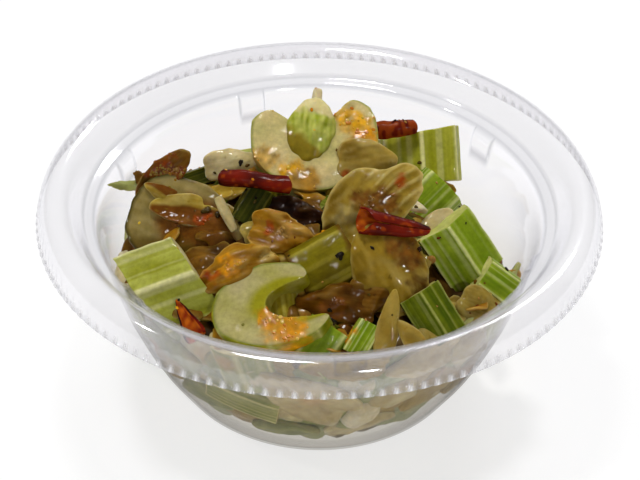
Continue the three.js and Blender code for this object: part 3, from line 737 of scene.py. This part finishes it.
STEM_SLICES = [
    ("stem_fold_middle", "fold", dict(long=29, wide=17, thick=2.6, lobe=0.12, turn=1, cup=-1.2, fold=2,
     wave=1.2, crumple=0.7, crease=8, lines=0.16, ragged=0.016), (12, -17, 62.8), (0, 45, 40),
     ((12.6, -18.5, 64.5), 5, BROWN_OIL, 1), ((16.5, -17.5, 65), 3, BROWN_OIL, 1),
     ((19.9, -12.6, 67.5), 1.8, RED_OIL, 1), ((6.6, -20.5, 62), 3.6, linear(170, 150, 88), 0.4)),
    ("stem_clear_back", "pale", dict(long=15, wide=11, thick=2.6, wave=0.4), (11, 2.2, 63.2), (0, 45, 0),
     ((5.5, -1.5, 62), 2, RED_OIL, 0.6)),
    ("celery_heart_back", "heart",
     dict(long=16, wide=13, thick=8, lobes=2, lobe=0.06, flat=0.45, wave=0, crumple=0.3, crease=3),
     (-2.6, 10.5, 65.9), (0, 40, 80)),
    ("stem_lobe_middle", "lobe", dict(long=23, wide=19, thick=6, lobes=2, turn=1, wave=0.5, lobe=0.05),
     (16.8, -32.5, 55.8), (5, 50, -60), ((19.2, -30, 61), 4, BROWN_OIL, 1),
     ((22.5, -33, 59), 3, BROWN_OIL, 1), ((24.5, -37.5, 55.5), 3.2, linear(88, 54, 8), 0.5)),
    ("stem_curl_left", "curl", dict(long=18, wide=8, thick=3, lobes=2, lobe=0.05, fold=1.6, cup=0.6),
     (-39.5, -1.2, 59.5), (-15, 60, 50), ((-38.5, -2.5, 61), 4.6, RED_OIL * 0.6, 1)),
    ("stem_amber_left", "ridge",
     dict(long=22, wide=8.5, thick=2.4, lobes=2, lobe=0.05, wave=1.2, fold=0.8, flat=0.5),
     (-31, -10, 55.2), (0, 38, -8), ((-34.7, -12.5, 55.5), 2.4, BROWN_OIL, 1),
     ((-28.5, -12.8, 54.5), 2.4, RED_OIL, 1)),
    ("stem_cup_left", "cup", dict(long=31, wide=23, thick=4, cup=1.2, wave=0.6, lobe=0.05),
     (-34, -11, 51.5), (-12, 45, -14), ((-36, -12, 55.5), 5, BROWN_OIL, 1)),
    ("stem_amber_upper", "amber", dict(long=15.8, wide=10.4, thick=2.4, wave=1.1, lobe=0.13, flat=0.5,
     crumple=0.8, crease=5, ragged=0.02), (-10, -22, 58.2), (0, 40, -12),
     ((-12, -22, 60), 1.8, RED_OIL, 1), ((-7.5, -23, 59.4), 2.4, linear(170, 128, 58), 1)),
    ("stem_amber_lower", "amber", dict(long=20, wide=10.4, thick=2.4, lobes=3, lobe=0.13, turn=2, wave=1,
     cup=-0.8, flat=0.5, crumple=0.9, crease=5, ragged=0.024), (-19, -33, 56), (0, 42, 22),
     ((-21, -34, 57.5), 3, ORANGE, 1), ((-26, -36.5, 56), 2.6, RED_OIL, 1),
     ((-12.5, -31, 57.5), 2.4, linear(178, 150, 78), 1)),
    ("stem_dark_middle", "dark", dict(long=15, wide=8.4, thick=4.2, lobe=0.12, wave=0.9, flat=0.5,
     crumple=0.9, crease=4, ragged=0.02), (-6.9, -11.5, 56), (0, 40, -8)),
    ("stem_dark_low", "brown", dict(long=18, wide=9.6, thick=3.4, lobe=0.14, turn=2.5, wave=1, flat=0.5,
     crumple=1, crease=5, ragged=0.025), (5, -39.5, 50.5), (0, 40, -5),
     ((3, -42, 51.5), 3, linear(112, 62, 8), 0.55)),
    ("stem_round_low", "curl",
     dict(long=10, wide=9.4, thick=4.4, wave=0.5, flat=0.6, crumple=0.5, crease=5), (12, -37, 51.5),
     (0, 45, 0)),
    ("stem_olive_right", "clear", dict(long=11, wide=9, thick=4, wave=0.4), (38.5, -34.5, 46.5),
     (20, 50, -40)),
    ("stem_pale_back", "cream", dict(long=14, wide=8, thick=2.6, wave=0.6), (-23.5, 4.5, 59.5),
     (0, 48, 12)),
    ("stem_behind_middle", "stem", dict(long=22, wide=15, thick=3.5, wave=0.8, cup=-1), (1, 25, 48),
     (180, 42, 15)),
    ("stem_behind_low", "amber", dict(long=20, wide=13, thick=4, wave=0.6, cup=1), (-9, 34, 31),
     (190, 42, -20)),
]
stem_finish = wet_food("mustard_stem", 520.0, 0.28, 0.4, radius=(1.0, 0.65, 0.2), depth=0.0025)
served(STEM_SLICES, stem_slice, stem_paint, stem_finish, 0.12, (200, 7, 300))


# ---- Pale slivers ----
# Thin pale strips and points of stem and celery heart, stuck in the salad or lying on it.
def sliver(long, wide, thick, narrow=0.38, blunt=0.8, bend=0, columns=40, rows=40):
    """A ball drawn out along X and flattened, which narrows to a point at +X. Blunt ones keep
    their width to both ends."""
    along = np.linspace(0, np.pi, rows)[:, None]
    turn = np.linspace(0, 2 * np.pi, columns, endpoint=False)[None, :]
    s = -np.cos(along)
    taper = (0.92 - narrow * s) * np.sin(along) ** blunt
    y = taper * np.cos(turn) * wide / 2 + bend * s * s
    z = taper * np.sin(turn) * thick / 2 * (1 + 0.15 * np.cos(3 * turn + 4 * s))
    x = s * long / 2 + 0 * turn
    marks = {"rim": np.abs(np.cos(turn)) + 0 * s, "crease": 0.7 * np.cos(2 * turn + 2 * s)}
    return np.stack([x, y, z], axis=-1), marks


SLIVERS = [
    ("sliver_spike", "pale", dict(long=17, wide=5.5, thick=2.6), (16.5, -47, 51), (0, 50, 80)),
    ("sliver_front", "pale", dict(long=9, wide=5, thick=2.4), (21.5, -49, 49.5), (0, 50, 130)),
    ("sliver_top", "white", dict(long=12, wide=3, thick=2.1, bend=0.4, narrow=-0.06, blunt=0.3),
     (-1.8, 19.1, 66.5), (0, 52, 78)),
    ("sliver_right", "white", dict(long=6, wide=3, thick=2, blunt=0.5), (24.5, -5, 54), (0, 45, -25)),
    ("stem_strip_left", "cream", dict(long=9.5, wide=2.8, thick=1.9, narrow=0.05, blunt=0.3),
     (-23, -15.3, 58.5), (0, 45, -63)),
]
served(SLIVERS, sliver, stem_paint, stem_finish, 0.06, (500, 7, 520))


# ---- Dried chilli ----
# Lengths cut from small dried red chillies: thin wrinkled husks, dark red and oily outside,
# orange inside, some of them split open where the seeds have fallen out. A chilli's look is
# how much of its outside is orange.
def husk(
    long, wide, wall=0.7, narrow=0.5, bend=0, flat=0.7, half=179, split=0, under=False,
    columns=72, rows=44,
):
    """A thin tube along X, closed round its wall: rows cross one end, run along it and cross
    the other. It is split along one side, more at its -X end by split, narrows to its +X end,
    is pressed flat, bends and wrinkles."""
    u, side = wall_columns(columns)
    q = np.concatenate([[0, 0.6, 0.9], np.ones(rows), [0.9, 0.6, 0]])[:, None]
    s = np.concatenate([[-1, -1, -0.995], np.linspace(-0.99, 0.99, rows), [0.995, 1, 1]])[:, None]
    thin = np.sqrt(np.maximum(1 - u**12, 0))
    grooves = mottle(np.stack([8 * u + 0 * s, 2.2 * s + 0 * u, 0 * (s + u)], -1), 5, int(long * 10))
    dents = mottle(np.stack([3 * u + 0 * s, 5 * s + 0 * u, 0 * (s + u)], -1), 4, int(long * 7))
    r = wide / 2 - wall / 2 + side * q * thin * wall / 2 + 0.26 * grooves + 0.22 * dents
    angle = u * (half - split * smooth_step(-0.45, -1, s)) * RAD
    shrink = 1 - narrow * (0.5 + 0.5 * s) ** 2
    frayed = (0.4 * np.cos(2 * angle) + 0.3 * np.sin(angle)) * smooth_step(0.6, 1, np.abs(s)) * np.sign(s)
    x = s * long / 2 + frayed
    y = r * np.sin(angle) * shrink
    z = -r * np.cos(angle) * shrink * flat + bend * s * s
    if under:
        y, z = -y, 2 * bend * s * s - z
    inside = (side < 0) * (np.abs(u) < 0.97) + 0.0 * s
    marks = {"inside": inside, "end": (q < 1) + 0.0 * u, "wrinkle": grooves + dents}
    return np.stack([x + 0 * u, y, z], axis=-1), marks


def husk_paint(marks, corners, look, seed):
    """Dark red, with painted shade that blackens it in the wrinkles and a painted highlight that
    lightens their crests; orange inside and on the cut ends."""
    # Painted shade and highlight: the red is darker down in the wrinkles and lighter on their crests.
    outside = blended(linear(44, 3, 0), linear(118, 23, 1), 0.4 + 0.4 * marks["wrinkle"])
    bright = smooth_step(0.5, 1.2, mottle(corners, 2, seed) + look)
    outside = blended(outside, linear(172, 72, 10), 0.55 * bright)
    inside = blended(linear(130, 34, 2), linear(186, 92, 14), 0.5 + 0.5 * mottle(corners, 2, seed + 1))
    return blended(outside, inside, np.maximum(marks["inside"], 0.8 * marks["end"]))


CHILLIES = [
    ("chilli_middle", 0, dict(long=17, wide=6.4, half=178, split=80, narrow=0.62, bend=0.5),
     (17.5, -27.5, 65), (0, 40, -8)),
    ("chilli_left", 0, dict(long=17.5, wide=4.6, narrow=0.1, bend=0.6, flat=0.85, under=True),
     (-16, -8.9, 64), (0, 52, -6)),
    ("chilli_back", 1.2, dict(long=11, wide=4.6, narrow=0.15, bend=-0.5, flat=0.8, under=True),
     (19, 15.5, 64), (0, 52, 8)),
    ("chilli_shard", 0, dict(long=10, wide=7, half=60, narrow=0.8, wall=1.2),
     (-31.2, -43.5, 48.4), (-20, 50, 130)),
]
chilli_finish = wet_food(
    "dried_chilli", 600.0, 0.11, 0.05, radius=(1.0, 0.2, 0.1), depth=0.001, pits=0.2
)
served(CHILLIES, husk, husk_paint, chilli_finish, 0.03, (600, 5, 620))


# ---- Small pieces of the heap ----
# The rest of the salad: slices and chunks that fill the bowl, pressed against its wall and
# floor, with smaller ones lying over the top between the large pieces. A place is a normal, a
# middle, a spin, a size and a look.
def turned_to(points, normal, middle, spin):
    """Points turned so that Z lies along a normal, after a spin about it, and moved."""
    normal = normal / np.linalg.norm(normal)
    across = np.cross(normal, [0.1, 0.05, 0.99])
    across /= np.linalg.norm(across)
    frame_of = np.stack([across, np.cross(normal, across), normal], axis=1)
    c, s = np.cos(spin), np.sin(spin)
    return points @ (frame_of @ np.array([[c, -s, 0], [s, c, 0], [0, 0, 1]])).T + middle


def joined(parts):
    """Many small pieces, each its corners, triangles and paint, as one set of each."""
    corners, triangles, paint = zip(*parts)
    starts = np.cumsum([0] + [len(each) for each in corners])
    triangles = [each + start for each, start in zip(triangles, starts)]
    return np.concatenate(corners), np.concatenate(triangles), np.clip(np.concatenate(paint), 0.001, 1)


def scattered(name, places, maker, shared, painter, material, slot, lump, seed):
    """Many small pieces as one object. Each is made by its own size and the shared one, turned
    to its place, kept inside the bowl and painted by itself."""
    parts = []
    for number, (normal, middle, spin, size, look) in enumerate(places):
        grid, marks = maker(**{**shared, **size})
        grid = kept_inside(turned_to(grid, normal, middle, spin))
        corners, triangles, marks = welded(grid, marks)
        corners = lumped(corners, triangles, lump * mottle(corners, 4, seed + number))
        parts.append((corners, triangles, painter(marks, corners, look, seed + 3 * number)))
    corners, triangles, paint = joined(parts)
    wet = {"sauce": 0.4 * smooth_step(0.2, 1, mottle(corners, 5, seed))}
    piece(name, "salad_heap", corners, triangles, material, paint, wet)


def wall_place(turn, height, thick, gap=0.3):
    """The outward normal of the wall and the middle of a piece pressed against it there."""
    lean = float(wall_radius(height + 1) - wall_radius(height - 1)) / 2
    normal = np.array([np.cos(turn), np.sin(turn), -lean])
    normal /= np.linalg.norm(normal)
    reach = float(wall_radius(height))
    at_wall = np.array([reach * np.cos(turn), reach * np.sin(turn), height])
    return normal, at_wall - normal * (thick / 2 + gap)


def picked(choices):
    """One of the choices, drawn at random."""
    return choices[draw.integers(0, len(choices))]


# Pieces pressed against the front of the bowl: angle round it, height, spin, look and size.
# FRONT_SLICE is the size that the slices share where they give none of their own.
FRONT_SLICE = dict(thick=4, lobes=3, wave=0.5)
FRONT_SLICES = [
    (-93, 29, -0.55, "cream", dict(long=29, wide=17, lobe=0.16, wave=0.4)),
    (-76, 19, 1.3, "white", dict(long=13, wide=10, thick=6, lobes=2, lobe=0.06, wave=0.2)),
    (-67, 27, 0.4, "cream", dict(long=13, wide=11, thick=5, lobe=0.08, wave=0.3)),
    (-55, 24, 0.9, "pale", dict(long=17, wide=12)),
    (-44, 34, -0.5, "cream", dict(long=18, wide=12, lobes=2)),
    (-60, 39, 0.2, "cream", dict(long=20, wide=12)),
    (-82, 42, 0.0, "pale", dict(long=21, wide=9)),
    (-126, 18, 0.5, "celadon", dict(long=19, wide=12)),
    (-133, 33, -0.3, "celadon", dict(long=19, wide=12)),
    (-142, 21, 1.0, "pale", dict(long=16, wide=11, lobes=2)),
    (-36, 20, 0.6, "clear", dict(long=17, wide=11)),
    (-100, 12, 0.1, "celadon", dict(long=15, wide=8, thick=3, lobes=2, wave=0.3)),
]
FRONT_CHUNKS = [
    (-112, 23.5, 1.4, "root", dict(radius=13, wall=5, half=42, long=19, ribs=3)),
    (-109, 38, 0.25, "root", dict(radius=14, wall=6, half=50, long=14, ribs=4)),
    (-151, 35, 0.5, "light", dict(radius=11, wall=6, half=50, long=13, ribs=4)),
    (-28, 34, 0.5, "light", dict(radius=11, wall=6, half=50, long=13, ribs=4)),
]
FRONT_FROM, FRONT_TO = 203 * RAD, 337 * RAD
# The thin slices behind those, as rings of a height and a count, and the heights of the rings
# of pieces round the rest of the wall.
LINING = ((11, 20), (19, 27), (29, 32), (36, 32))
WALL_RINGS = (7, 16, 25, 34, 42)
WALL_SPACING = 15
FLOOR_SLICES = 16
TOP_TRIES = 150
SLOPE_SLICES = 170
draw = np.random.default_rng(7)
slices, chunks = [], []
for ring, count in LINING:
    for k in range(count):
        turn = (FRONT_FROM + 2 * np.pi * (k + 0.5 * (ring % 2)) / count) % (2 * np.pi)
        if ring <= heap_edge(turn) - 5:
            size = dict(long=19, wide=14, thick=2.2, turn=k, wave=0.3, flat=0.5, columns=28, rows=12)
            look = ("celadon", "pale", "celadon", "cream")[(k + ring) % 4]
            slices.append((*wall_place(turn, ring, 2.2, 2.2), k * 1.7, size, look))
for turn, height, spin, look, own in FRONT_SLICES:
    size = {**FRONT_SLICE, **own}
    slices.append((*wall_place(turn * RAD, height, size["thick"]), spin, size, look))
for turn, height, spin, look, size in FRONT_CHUNKS:
    chunks.append((*wall_place(turn * RAD, height, size["wall"], -0.6), spin, size, look))
for ring, height in enumerate(WALL_RINGS):
    count = int(2 * np.pi * wall_radius(height) / WALL_SPACING)
    for k in range(count):
        turn = (k + 0.5 * (ring % 2) + draw.uniform(-0.25, 0.25)) * 2 * np.pi / count
        up = height + draw.uniform(-2.5, 2.5)
        thick = draw.uniform(3.5, 6)
        is_slice = draw.random() < 0.68
        spin = draw.uniform(0, 6.3)
        if up > heap_edge(turn) - 1 or FRONT_FROM < turn < FRONT_TO:
            continue
        if is_slice:
            size = dict(
                long=draw.uniform(15, 24), wide=draw.uniform(10, 16), thick=thick,
                lobes=draw.integers(2, 4), turn=draw.uniform(0, 6), wave=0.5,
            )
            look = picked(("pale", "celadon", "stem", "cream", "clear"))
            slices.append((*wall_place(turn, up, thick), spin, size, look))
        else:
            size = dict(
                radius=draw.uniform(7, 12), wall=thick + 0.8, half=draw.uniform(48, 62),
                long=draw.uniform(9, 15), ribs=draw.integers(3, 5),
            )
            chunks.append((*wall_place(turn, up, thick, -0.4), spin, size, picked(("fresh", "light"))))
for k in range(FLOOR_SLICES):
    turn, reach = k * 2.4, 6 + 5.6 * (k % 5)
    middle = np.array([reach * np.cos(turn), reach * np.sin(turn), FOOD_FLOOR + 2.4])
    size = dict(long=16, wide=12, thick=4, turn=k, wave=0.3)
    slices.append((np.array([0.05, 0.02, -1]), middle, k * 1.3, size, ("pale", "clear", "stem")[k % 3]))

# Small pieces at chosen places on the top, each a middle, a spin, a look and a size, and the
# places where no other small piece lies, each an X, a Y and a radius.
TOP_SLICES = [
    ((29.3, -15.5, 56.5), 0.6, "cream", dict(long=11, wide=7, thick=1.6, wave=0.8, flat=0.5)),
    ((-49, 1.5, 54.6), 0.1, "celadon", dict(long=9, wide=2.8, thick=1.2, crumple=0.8, ragged=0.06)),
    ((-45.5, 2, 55.8), -0.7, "curl", dict(long=6, wide=3.4, thick=1.4, crumple=0.8, ragged=0.06)),
    ((-26, -4.5, 57), 0.4, "stem", dict(long=9, wide=4, thick=1.4, wave=0.8)),
    ((-38.5, -6.5, 57.5), -0.3, "ridge", dict(long=11, wide=4.4, thick=1.6, wave=0.8)),
]
KEPT_CLEAR = ((29, -1, 9), (1, -27, 6), (-31, -18, 6))
tops = [(np.array([0, -0.6, 0.8]), np.array(at), spin, size, look) for at, spin, look, size in TOP_SLICES]
inner_leaf = dict(radius=7, wall=3.4, long=11, ribs=4)
bits = [(np.array([0.1, -0.6, 0.8]), np.array([-8.5, -38, 50]), 0.2, inner_leaf, "inner")]
for k in range(TOP_TRIES):
    turn, reach = draw.uniform(0, 2 * np.pi), 51 * np.sqrt(draw.random())
    x, y = reach * np.cos(turn), reach * np.sin(turn)
    z = float(heap_top(x, y))
    slope = np.array([heap_top(x - 1, y) - heap_top(x + 1, y), heap_top(x, y - 1) - heap_top(x, y + 1), 2])
    normal = slope / np.linalg.norm(slope) + draw.normal(0, 0.22, 3)
    middle = np.array([x, y, z - 1.6])
    is_slice, spin = draw.random() < 0.78, draw.uniform(0, 6.3)
    (a, b, c), look = draw.uniform(0, 1, 3), int(draw.integers(0, 6))
    hiding = any(np.hypot(x - left, y - front) < radius for left, front, radius in KEPT_CLEAR)
    if reach > wall_radius(z) - 3 or hiding:
        continue
    if is_slice:
        size = dict(long=9 + 6 * a, wide=6 + 5 * b, thick=1.3 + 1.2 * c, lobes=2 + look % 3, lobe=0.14,
                    turn=spin, wave=0.9, crumple=0.7, crease=6, ragged=0.03)
        look = ("brown", "amber", "brown", "stem", "clear", "curl")[look]
        tops.append((normal, middle, spin, size, look))
    else:
        size = dict(radius=4 + 3 * a, wall=2.6 + 1.4 * b, long=5 + 4 * c, ribs=3)
        bits.append((normal, middle, spin, size, ("shade", "olive", "deep")[look % 3]))
outer_leaf = dict(radius=9, wall=4, long=11, ribs=3)
bits.append((np.array([0.05, -0.7, 0.7]), np.array([0.5, -50, 46.4]), -0.5, outer_leaf, "fresh"))

# Slices that lie on the core's steep sides, where the heap falls away from the wall.
slopes = []
a, b, c = (core_corners[core_triangles[:, k]] for k in (0, 1, 2))
facets = np.cross(b - a, c - a) / 2
area = np.linalg.norm(facets, axis=1)
facing, spot = facets / np.maximum(area, 1e-9)[:, None], (a + b + c) / 3
behind = (spot[:, 1] > 6) | (spot[:, 0] > 34) | (spot[:, 0] < -44)
steep = area * behind * (facing[:, 2] < 0.85) * (facing[:, 2] > 0.05) * (spot[:, 2] > 14)
for place in draw.choice(len(area), SLOPE_SLICES, p=steep / steep.sum()):
    size = dict(
        long=draw.uniform(9, 16), wide=draw.uniform(7, 12), thick=draw.uniform(1.6, 3),
        lobes=draw.integers(2, 5), lobe=0.12, turn=draw.uniform(0, 6), wave=0.8,
    )
    look = picked(("stem", "celadon", "pale", "amber", "clear", "brown"))
    normal = facing[place] + draw.normal(0, 0.15, 3)
    slopes.append((normal, spot[place] + facing[place] * 0.6, draw.uniform(0, 6.3), size, look))


def oiled(painter):
    """The painter, with wide thin blotches of orange oil over what it paints."""
    def paint(marks, corners, look, seed):
        film = 0.5 * smooth_step(0.7, 1.5, mottle(corners, 16, 5))
        return blended(painter(marks, corners, look, seed), linear(206, 128, 44), film)
    return paint


stem = (stem_finish, "mustard_stem")
celery = (celery_finish, "celery")
in_wall = dict(columns=44, rows=8, ridge=0.4)
on_top = dict(columns=36, rows=6, ridge=0.4, half=52)
scattered("stem_at_wall", slices, stem_slice, dict(columns=40, rows=18), oiled(stem_paint), *stem, 0.15, 900)
scattered("celery_at_wall", chunks, stalk_wall, in_wall, oiled(celery_paint), *celery, 0.06, 1300)
scattered("stem_on_slopes", slopes, stem_slice, dict(columns=32, rows=14), stem_paint, *stem, 0.1, 1800)
scattered("stem_on_top", tops, stem_slice, dict(columns=44, rows=18), stem_paint, *stem, 0.1, 1600)
scattered("celery_on_top", bits, stalk_wall, on_top, celery_paint, *celery, 0.05, 2100)


# ---- Oil, seeds and specks ----
# Chilli oil lies in small beads where there is sauce, and seeds, crumbs of chilli and specks of
# pepper stick to the wet pieces. Each lies on the nearest surface of a large piece of food.
on_food, off_food, sauce_on, paint_on = (np.concatenate(values) for values in zip(*food))


def crumb(size, seed, columns=14, rows=9):
    """A small ball stretched to a length, a width and a height, and made uneven by noise."""
    down = np.linspace(0, np.pi, rows)[:, None]
    angle = np.linspace(0, 2 * np.pi, columns, endpoint=False)[None, :]
    x, y, z = np.sin(down) * np.cos(angle), np.sin(down) * np.sin(angle), np.cos(down) + 0 * angle
    ball = np.stack([x, y, z], axis=-1)
    return ball * (1 + size[3] * mottle(ball, 1.4, seed))[..., None] * np.array(size[:3]) / 2


def stuck_on(name, places, material, sunk):
    """Many crumbs as one object. A place is a point near the food, a spin, a size and a colour.
    Each lies along the surface nearest its point, sunk into it by a share of its height."""
    parts = []
    for number, (point, spin, size, colour) in enumerate(places):
        nearest = np.argmin(((on_food - np.array(point)) ** 2).sum(axis=1))
        normal = off_food[nearest]
        middle = on_food[nearest] + normal * size[2] * (0.5 - sunk)
        corners, triangles, _ = welded(turned_to(crumb(size, number), normal, middle, spin))
        paint = colour * (1 + 0.12 * mottle(corners, 1.5, number))[:, None]
        parts.append((kept_inside(corners), triangles, paint))
    corners, triangles, paint = joined(parts)
    dry = {"sauce": np.zeros(len(corners))}
    piece(name, "salad_heap", corners, triangles, material, paint, dry)


oil = bpy.data.materials.new("chilli_oil")
add = nodes_of(oil)
wet = add(
    "BsdfPrincipled", Base_Color=add("Attribute", "Color", attribute_name="paint"), Roughness=0.06,
    Coat_Weight=0.6, Coat_Roughness=0.04, Subsurface_Weight=0.3, Subsurface_Radius=(1.0, 0.6, 0.1),
    Subsurface_Scale=0.001,
)
add("OutputMaterial", Surface=wet)
draw = np.random.default_rng(21)
OILS = (linear(222, 156, 4), linear(206, 128, 0), linear(196, 106, 0), linear(228, 184, 60))
GOLDEN_BEADS, LONE_BEADS, SAUCE_BEADS, LOOSE_SPECKS = 260, 20, 260, 70
SHADY_SIDE = -30


def some_of(chosen, count):
    """As many as count of the food's corners, drawn at random from the chosen ones."""
    return draw.permutation(np.flatnonzero(chosen))[:count]


def bead(place, across, long, high):
    """The point, spin and size of a bead of oil on a corner of the food. Long and high are
    shares of how wide it is."""
    return on_food[place], draw.uniform(0, 6.3), (across * long, across, across * high, 0.08)


beads = []
golden = (np.abs(on_food[:, 1] + 23) > 17) & (sauce_on > 0.6) & (off_food[:, 2] > 0)
for place in some_of(golden, GOLDEN_BEADS):
    across, long = 0.35 + 0.75 * draw.random() ** 2, draw.uniform(1, 1.6)
    colour = picked(OILS) * (0.35 if on_food[place, 0] < SHADY_SIDE else 1)
    beads.append((*bead(place, across, long, 0.35), colour))
for place in some_of((sauce_on <= 0.3) & (off_food[:, 2] > 0.4), LONE_BEADS):
    beads.append((*bead(place, 0.4 + 0.5 * draw.random(), 1.3, 0.35), picked(OILS)))
for place in some_of((sauce_on > 0.5) & (off_food[:, 2] > 0.2), SAUCE_BEADS):
    across, long = 0.3 + 0.6 * draw.random() ** 2, draw.uniform(1, 1.5)
    beads.append((*bead(place, across, long, 0.5), 1.1 * paint_on[place]))
stuck_on("oil_beads", beads, oil, 0.35)

# Each seed, crumb or speck at a chosen place: a point, a spin, its length, width, height and
# unevenness, and a colour. Small loose specks follow.
SEED, PEPPER = linear(176, 128, 62), linear(30, 22, 10)
SPECKS = [
    ((-4.8, -37.3, 49.8), 0, (3.6, 3.2, 2.8, 0.1), linear(126, 66, 16)),
    ((25, -26.9, 51.9), 1, (2.6, 2.1, 1.1, 0.06), SEED),
    ((4.5, -31.4, 58.7), 0.4, (2.4, 1.3, 0.8, 0.3), PEPPER),
    ((5.2, -31.8, 58.5), 1.4, (1.1, 0.8, 0.7, 0.3), PEPPER),
    ((4, -45.3, 51.6), 0.3, (2.4, 1.6, 1.2, 0.35), PEPPER),
    ((5.4, -45.8, 51.2), 1.9, (1.5, 1.1, 1.0, 0.3), linear(62, 48, 20)),
    ((3.1, -44.3, 52), 2.4, (1.2, 0.9, 0.9, 0.3), PEPPER),
    ((-20.3, 4, 60.3), 1.2, (1.8, 1.2, 0.8, 0.3), PEPPER),
    ((-18.5, 3.2, 60.3), 0.2, (1.2, 0.8, 0.6, 0.3), linear(84, 60, 18)),
    ((3.6, 4.6, 64.5), 0.9, (1.0, 0.8, 0.5, 0.3), linear(106, 74, 18)),
    ((31, 22, 60.5), 0.3, (1.4, 0.8, 0.6, 0.3), linear(70, 52, 20)),
    ((17, 24, 56), 1.3, (0.9, 0.6, 0.5, 0.3), linear(96, 66, 26)),
    ((-17.4, -47.1, 51.1), 0, (0.8, 0.8, 0.3, 0.2), linear(118, 112, 48)),
    ((-1.5, -45.5, 53), 0, (0.6, 0.6, 0.3, 0.2), linear(120, 112, 40)),
    ((-28.5, -11.5, 56.5), 0.7, (2.4, 1.6, 1.0, 0.3), linear(74, 56, 16)),
    ((-25.8, -12.4, 56.5), 2.2, (1.8, 1.2, 0.9, 0.3), linear(60, 44, 14)),
    ((1.4, -23.7, 57.5), 0.3, (1.7, 1.4, 0.9, 0.15), linear(178, 96, 8)),
    ((23, -29.5, 59.5), 0.3, (1.5, 1.1, 0.9, 0.3), linear(50, 24, 8)),
    ((22.5, -46.5, 50), 0.6, (2.2, 1.4, 1.1, 0.3), linear(66, 50, 16)),
]
for place in some_of(off_food[:, 2] > 0.2, LOOSE_SPECKS):
    across = 0.35 + 0.5 * draw.random() ** 2
    colour = picked((PEPPER, linear(110, 50, 8), SEED, linear(86, 70, 22)))
    SPECKS.append((on_food[place], draw.uniform(0, 6.3), (across * 1.5, across, across * 0.6, 0.3), colour))
stuck_on("seeds_and_specks", SPECKS, wet_food("spice", 900.0, 0.25, 0.05, pits=0.3), 0.2)
